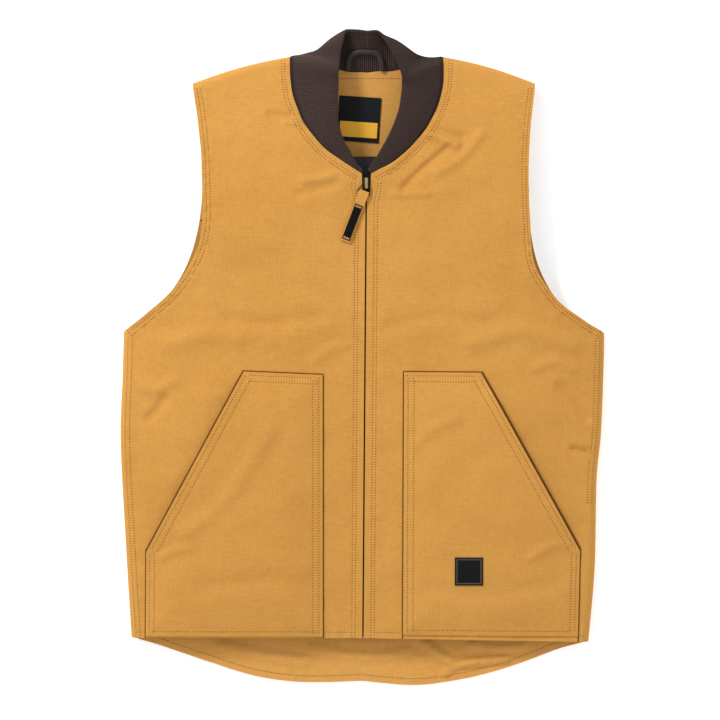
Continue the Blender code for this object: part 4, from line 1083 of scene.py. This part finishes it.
def stitchPlaces(path, tree, lift=stitchValues["lift"], pitch=stitchValues["pitch"]):
    # spots along a seam on the cloth, each with its own directions: ahead, across and up
    run = runOf(path)
    count = max(2, int(run[-1] / pitch))
    marks = (np.arange(count) + 0.5) * run[-1] / count
    spots, ahead, behind = (sampled(path, run, marks + d) for d in (0, 5e-4, -5e-4))
    places = []
    for spot, head in zip(spots, ahead - behind):
        found, normal, _, _ = tree.ray_cast(Vector((*(spot + vest["middle"]), 0.3)), Vector((0, 0, -1)))
        if found is None:
            continue
        up = np.array(normal) * (1 if normal.z > 0 else -1)
        head = np.append(head, 0)
        head = unit(head - up * (head @ up))
        places.append((np.array(found) - origin + up * lift, head, np.cross(up, head), up))
    return places


for side, sign in sides.items():
    corners = pocketCorners(side)
    pocketTree, frontTree = surfaceTree(f"{side}Pocket"), surfaceTree(f"{side}Front")
    low, high = corners[:, 0].min() - 0.0005, corners[:, 0].max() + 0.0005
    places = []
    for line in sum(seamRows[side].values(), []):
        for place in stitchPlaces(line, frontTree):
            x, y = place[0][:2]
            climb = np.clip((y - corners[3][1]) / (corners[2][1] - corners[3][1]), 0, 1)
            slant = corners[3] + (corners[2] - corners[3]) * climb
            hidden = low < x < high and corners[0][1] < y < corners[1][1] and abs(x) < abs(slant[0])
            if not hidden:
                places.append(place)
    copiesOf(f"{side}FrontStitches", stitch, places, "tan thread")
    stitchHoleShades(f"{side}Front", places)
    places = sum((stitchPlaces(line, pocketTree) for line in pocketRows[side]), [])
    stitchHoleShades(f"{side}Pocket", places)
    tackLine = np.array([[-0.5, 0], [0.5, 0]]) * stitchValues["tackWidth"]
    for spot in (corners[1] + sign * np.array([0.006, 0]), corners[2], corners[3]):
        base = spot + unit(corners.mean(axis=0) - spot) * pocketValues["tackIn"]
        for k in range(-4, 5):  # bar tack: close stitches side by side
            line = base + np.array([0.0, k * stitchValues["tackStep"]]) + tackLine
            places += stitchPlaces(line, pocketTree, stitchValues["tackLift"], stitchValues["tackPitch"])
    copiesOf(f"{side}PocketStitches", stitch, places, "tan thread")

tailLine = offsetLine(np.delete(backFlat[0], halfColumns, axis=0), 0.0075)[9:-9]
yokeRow = np.column_stack([np.linspace(-0.034, 0.050, 20), np.full(20, backNeckY - 0.0070)])
places = stitchPlaces(tailLine, surfaceTree("tailFacing")) + stitchPlaces(yokeRow, surfaceTree("neckFacing"))
copiesOf("backStitches", stitch, places, "tan thread")
stitchHoleShades("back", places)
places = []
for s in strapValues["tacks"]:  # bar tacks across the strap's label
    z = float(np.interp(s, covered, seatHeight)) + barZ + strapValues["label"] / 2
    for w in (-0.0028, -0.0010, 0.0010, 0.0028):
        spot = np.append(barPlace + ahead * s + aside * w, z)
        places.append((spot, np.append(aside, 0), np.append(-ahead, 0), np.array([0, 0, 1.0])))
copiesOf("strapTacks", stitch, places, "pale thread")
bpy.data.objects.remove(stitch)
bpy.data.objects.remove(hole)
print("stitches sewn")


# finishes

def addNode(tree, kind, settings=None, links=None):
    node = tree.nodes.new(kind)
    for key, value in (settings or {}).items():
        if isinstance(key, int) or key in node.inputs:
            node.inputs[key].default_value = value
        else:
            setattr(node, key, value)
    for key, source in (links or {}).items():
        tree.links.new(source, node.inputs[key])
    return node


def startFinish(name, roughness, metallic=0.0, sheen=0.0, specular=0.35):
    chosen = material(name)
    chosen.use_nodes = True
    shader = chosen.node_tree.nodes["Principled BSDF"]
    for key, value in (("Roughness", roughness), ("Metallic", metallic), ("Sheen Weight", sheen),
                       ("Specular IOR Level", specular)):
        shader.inputs[key].default_value = value
    return chosen.node_tree, shader


def noiseOf(tree, stretch, size, detail=2.0):  # size in metres
    place = addNode(tree, "ShaderNodeTexCoord").outputs["Object"]
    spread = addNode(tree, "ShaderNodeMapping", {"Scale": stretch}, {"Vector": place})
    return addNode(tree, "ShaderNodeTexNoise", {"Scale": 1 / size, "Detail": detail, "Roughness": 0.6},
                   {"Vector": spread.outputs[0]}).outputs["Fac"]


def combine(tree, kind, a, b=0.0):
    values = ((0, a), (1, b))
    links = {k: v for k, v in values if not isinstance(v, (int, float))}
    settings = {"operation": kind, **{k: v for k, v in values if isinstance(v, (int, float))}}
    return addNode(tree, "ShaderNodeMath", settings, links).outputs[0]


def mixColour(tree, factor, under, overHex):
    mix = addNode(tree, "ShaderNodeMix", {"data_type": "RGBA"}, {0: factor, 6: under})
    mix.inputs[7].default_value = linearColour(overHex)
    return mix.outputs[2]


def ramped(tree, factor, colours, low=0.0, high=1.0):
    ramp = addNode(tree, "ShaderNodeValToRGB", {}, {"Fac": factor})
    for element, place, colour in zip(ramp.color_ramp.elements, (low, high), colours):
        element.position, element.color = place, linearColour(colour)
    return ramp.outputs[0]


def paint(tree, shader, colour, height=None, strength=0.4, depth=0.0003):
    tree.links.new(colour, shader.inputs["Base Color"])
    if height is not None:
        bump = addNode(tree, "ShaderNodeBump", {"Strength": strength, "Distance": depth}, {"Height": height})
        tree.links.new(bump.outputs[0], shader.inputs["Normal"])


def cutPlace(tree):  # across and along on the flat piece
    place = addNode(tree, "ShaderNodeUVMap", {"uv_map": "cut"}).outputs[0]
    return addNode(tree, "ShaderNodeSeparateXYZ", {}, {0: place}).outputs


# widths, strength and colour of the painted shade line beside each pocket edge
pocketShadeValues = {"right": (0.0014, 0.0014, 0.0019, 0.0012), "left": (0.0014, 0.0014, 0.0027, 0.0014),
                "strength": 0.92, "colour": "#451e06"}


def paintedPocketShade(tree):  # painted shade: 1 in a thin line just outside each pocket's edges, where the edge's shadow falls, 0 elsewhere
    place = addNode(tree, "ShaderNodeTexCoord").outputs["Object"]
    nearest = 0.0
    for side, sign in sides.items():
        corners = pocketCorners(side) + origin[:2]
        distance = -1e6
        for a, b, width in zip(corners, corners[1:], pocketShadeValues[side]):
            run = unit(b - a)
            normal = np.array([-run[1], run[0]]) * sign
            dot = addNode(tree, "ShaderNodeVectorMath", {"operation": "DOT_PRODUCT"}, {0: place})
            dot.inputs[1].default_value = (*normal, 0)
            beyond = combine(tree, "SUBTRACT", dot.outputs["Value"], float(a @ normal))
            distance = combine(tree, "MAXIMUM", combine(tree, "MULTIPLY", beyond, 1 / width), distance)
        off = combine(tree, "ABSOLUTE", combine(tree, "SUBTRACT", distance, 0.4))
        nearest = combine(tree, "MAXIMUM", combine(tree, "SUBTRACT", 1.0, off), nearest)
    return combine(tree, "MULTIPLY", combine(tree, "POWER", nearest, 0.6), pocketShadeValues["strength"])


def duckFinish(name, *colours, withPocketShade=False):
    # cotton duck: a firm, matte plain weave with faint slubs, drawn about twice as coarse as real to show
    tree, shader = startFinish(name, 0.95, sheen=0.02, specular=0.08)
    threads = [noiseOf(tree, stretch, 0.0013) for stretch in ((1.0, 0.14, 1.0), (0.10, 1.0, 1.0))]
    weave = combine(tree, "ADD", *threads)
    grain = combine(tree, "MULTIPLY", weave, 0.5)
    cloud = combine(tree, "MULTIPLY", noiseOf(tree, (1.0, 1.0, 1.0), 0.11), 0.25)
    tone = combine(tree, "ADD", combine(tree, "MULTIPLY", grain, 0.75), cloud)
    colour = ramped(tree, tone, colours, 0.34, 0.66)
    # painted shade: a dark line beside each pocket's edges
    if withPocketShade:
        colour = mixColour(tree, paintedPocketShade(tree), colour, pocketShadeValues["colour"])
    paint(tree, shader, colour, grain, 0.25)


duckFinish("duck canvas", "#bc843c", "#cd974d")
# the fronts: the same duck with painted shade beside the pockets
duckFinish("duck canvas front", "#bc843c", "#cd974d", withPocketShade=True)
# the same duck made brighter: painted light that makes up for the shade on the neck facing and the tail
duckFinish("duck canvas inside painted brighter", "#c68c43", "#d7a056")

for name, dark, light, size, stretch, roughness, sheen, specular in (
        ("quilted satin lining", "#15110f", "#26201d", 0.0009, (1.0, 0.2, 1.0), 0.36, 0.0, 0.3),  # soft gloss
        ("rib knit", "#40312d", "#584640", 0.0012, (1.0, 1.0, 1.0), 0.9, 0.1, 0.1),  # soft, with painted shade in the furrows between ribs and along the neck seam
        ("loop braid", "#241d1b", "#362c29", 0.0009, (1.0, 1.0, 0.4), 0.6, 0.2, 0.35),  # dark, a little shiny
        ("woven tape", "#0b0a0a", "#181716", 0.0007, (1.0, 0.3, 1.0), 0.8, 0.0, 0.06),  # a flat black label
        ("zip tape", "#5a3114", "#6f4220", 0.0010, (1.0, 0.3, 1.0), 0.85, 0.0, 0.35),  # brown in the gap
        ("tan thread", "#d09849", "#e6b46a", 0.0008, (1.0, 1.0, 1.0), 0.8, 0.0, 0.15),  # paler than the duck
        ("pale thread", "#b08a5c", "#cfae80", 0.0008, (1.0, 1.0, 1.0), 0.8, 0.0, 0.15),  # bar tacks
        ("needle hole shade", "#743c12", "#834a1a", 0.0008, (1.0, 1.0, 1.0), 0.95, 0.0, 0.05),  # a dark dot of painted shade at each needle hole
        ("rubber patch", "#0e0d0d", "#1a1918", 0.0008, (1.0, 1.0, 1.0), 0.6, 0.0, 0.08)):  # matte, with a painted highlight on its raised border
    tree, shader = startFinish(name, roughness, sheen=sheen, specular=specular)
    grain = noiseOf(tree, stretch, size)
    colour = ramped(tree, grain, (dark, light), 0.35, 0.65)
    if name == "rib knit":
        # painted shade: darker in the furrows between the ribs and in a band along the neck seam
        run, across = cutPlace(tree)[:2]
        turns = combine(tree, "MULTIPLY", run, 2 * math.pi / collarValues["ribPitch"])
        stripe = combine(tree, "COSINE", turns)
        between = combine(tree, "MULTIPLY", combine(tree, "SUBTRACT", 1.0, stripe), 0.42)
        colour = mixColour(tree, between, colour, "#1b1413")
        fromSeam = combine(tree, "MULTIPLY", across, 140.0)
        seamShade = combine(tree, "MAXIMUM", combine(tree, "SUBTRACT", 1.0, fromSeam))
        colour = mixColour(tree, seamShade, colour, "#0e0a09")
    if name == "rubber patch":
        # painted highlight: a lighter ring where the raised border catches the light
        reach = combine(tree, "MAXIMUM", *[combine(tree, "ABSOLUTE", axis) for axis in cutPlace(tree)[:2]])
        off = combine(tree, "ABSOLUTE", combine(tree, "SUBTRACT", reach, 0.425))
        colour = mixColour(tree, combine(tree, "LESS_THAN", off, 0.022), colour, "#4a443c")
    paint(tree, shader, colour, grain)

for name, dark, light, roughness in (("antique brass", "#241b13", "#4d3c29", 0.45),
                                     ("brass with painted highlight", "#8d7a5c", "#c9b48c", 0.36)):
    tree, shader = startFinish(name, roughness, metallic=1.0, specular=0.5)  # darkened; the bridge's paler brass is a painted highlight
    paint(tree, shader, ramped(tree, noiseOf(tree, (1.0, 1.0, 1.0), 0.0016, 3.0), (dark, light)))

tree, shader = startFinish("woven label", 0.8, specular=0.06)  # damask label, with one plain band
across, upward = cutPlace(tree)[:2]
inBand = combine(tree, "LESS_THAN", combine(tree, "ABSOLUTE", combine(tree, "ADD", upward, 0.23)), 0.17)
inside = combine(tree, "LESS_THAN", combine(tree, "ABSOLUTE", across), 0.45)
plain = addNode(tree, "ShaderNodeRGB")
plain.outputs[0].default_value = linearColour("#1f2023")
paint(tree, shader, mixColour(tree, combine(tree, "MULTIPLY", inBand, inside), plain.outputs[0], "#f0b43c"))
print("finishes mixed")

# floor, light and camera

studio = {"floor": "#ffffff", "floorGlow": 0.30, "sky": 0.77, "cameraHeight": 4.8, "lens": 200.0,
          "aim": (-0.0030, -0.0044)}
bpy.ops.object.select_all(action="DESELECT")
bpy.ops.mesh.primitive_plane_add(size=6, location=(0, 0, -0.0006))
floor = bpy.context.object
floor.name = "floor"
tree, shader = startFinish("studio paper", 1.0, specular=0.0)
shader.inputs["Base Color"].default_value = linearColour(studio["floor"])
shader.inputs["Emission Color"].default_value = (1, 1, 1, 1)
shader.inputs["Emission Strength"].default_value = studio["floorGlow"]
floor.data.materials.append(material("studio paper"))

world = bpy.context.scene.world or bpy.data.worlds.new("studio")
bpy.context.scene.world = world
world.use_nodes = True
world.node_tree.nodes["Background"].inputs[0].default_value = (1, 1, 1, 1)
world.node_tree.nodes["Background"].inputs[1].default_value = studio["sky"]
for name, place, size, watts in (("keyLight", (-1.9, 2.1, 2.1), 0.8, 78),
                                 ("fillLight", (1.8, -0.6, 2.4), 1.6, 8)):
    lamp = bpy.data.lights.new(name, "AREA")
    lamp.shape, lamp.size, lamp.energy = "DISK", size, watts
    holder = bpy.data.objects.new(name, lamp)
    holder.location = place
    holder.rotation_euler = (-Vector(place)).to_track_quat("-Z", "Y").to_euler()
    bpy.context.scene.collection.objects.link(holder)
bpy.context.scene.view_settings.view_transform = "Standard"

cameraData = bpy.data.cameras.new("camera")
cameraData.lens, cameraData.sensor_width = studio["lens"], 36
camera = bpy.data.objects.new("camera", cameraData)
camera.location = (*studio["aim"], studio["cameraHeight"])
bpy.context.scene.collection.objects.link(camera)
bpy.context.scene.camera = camera
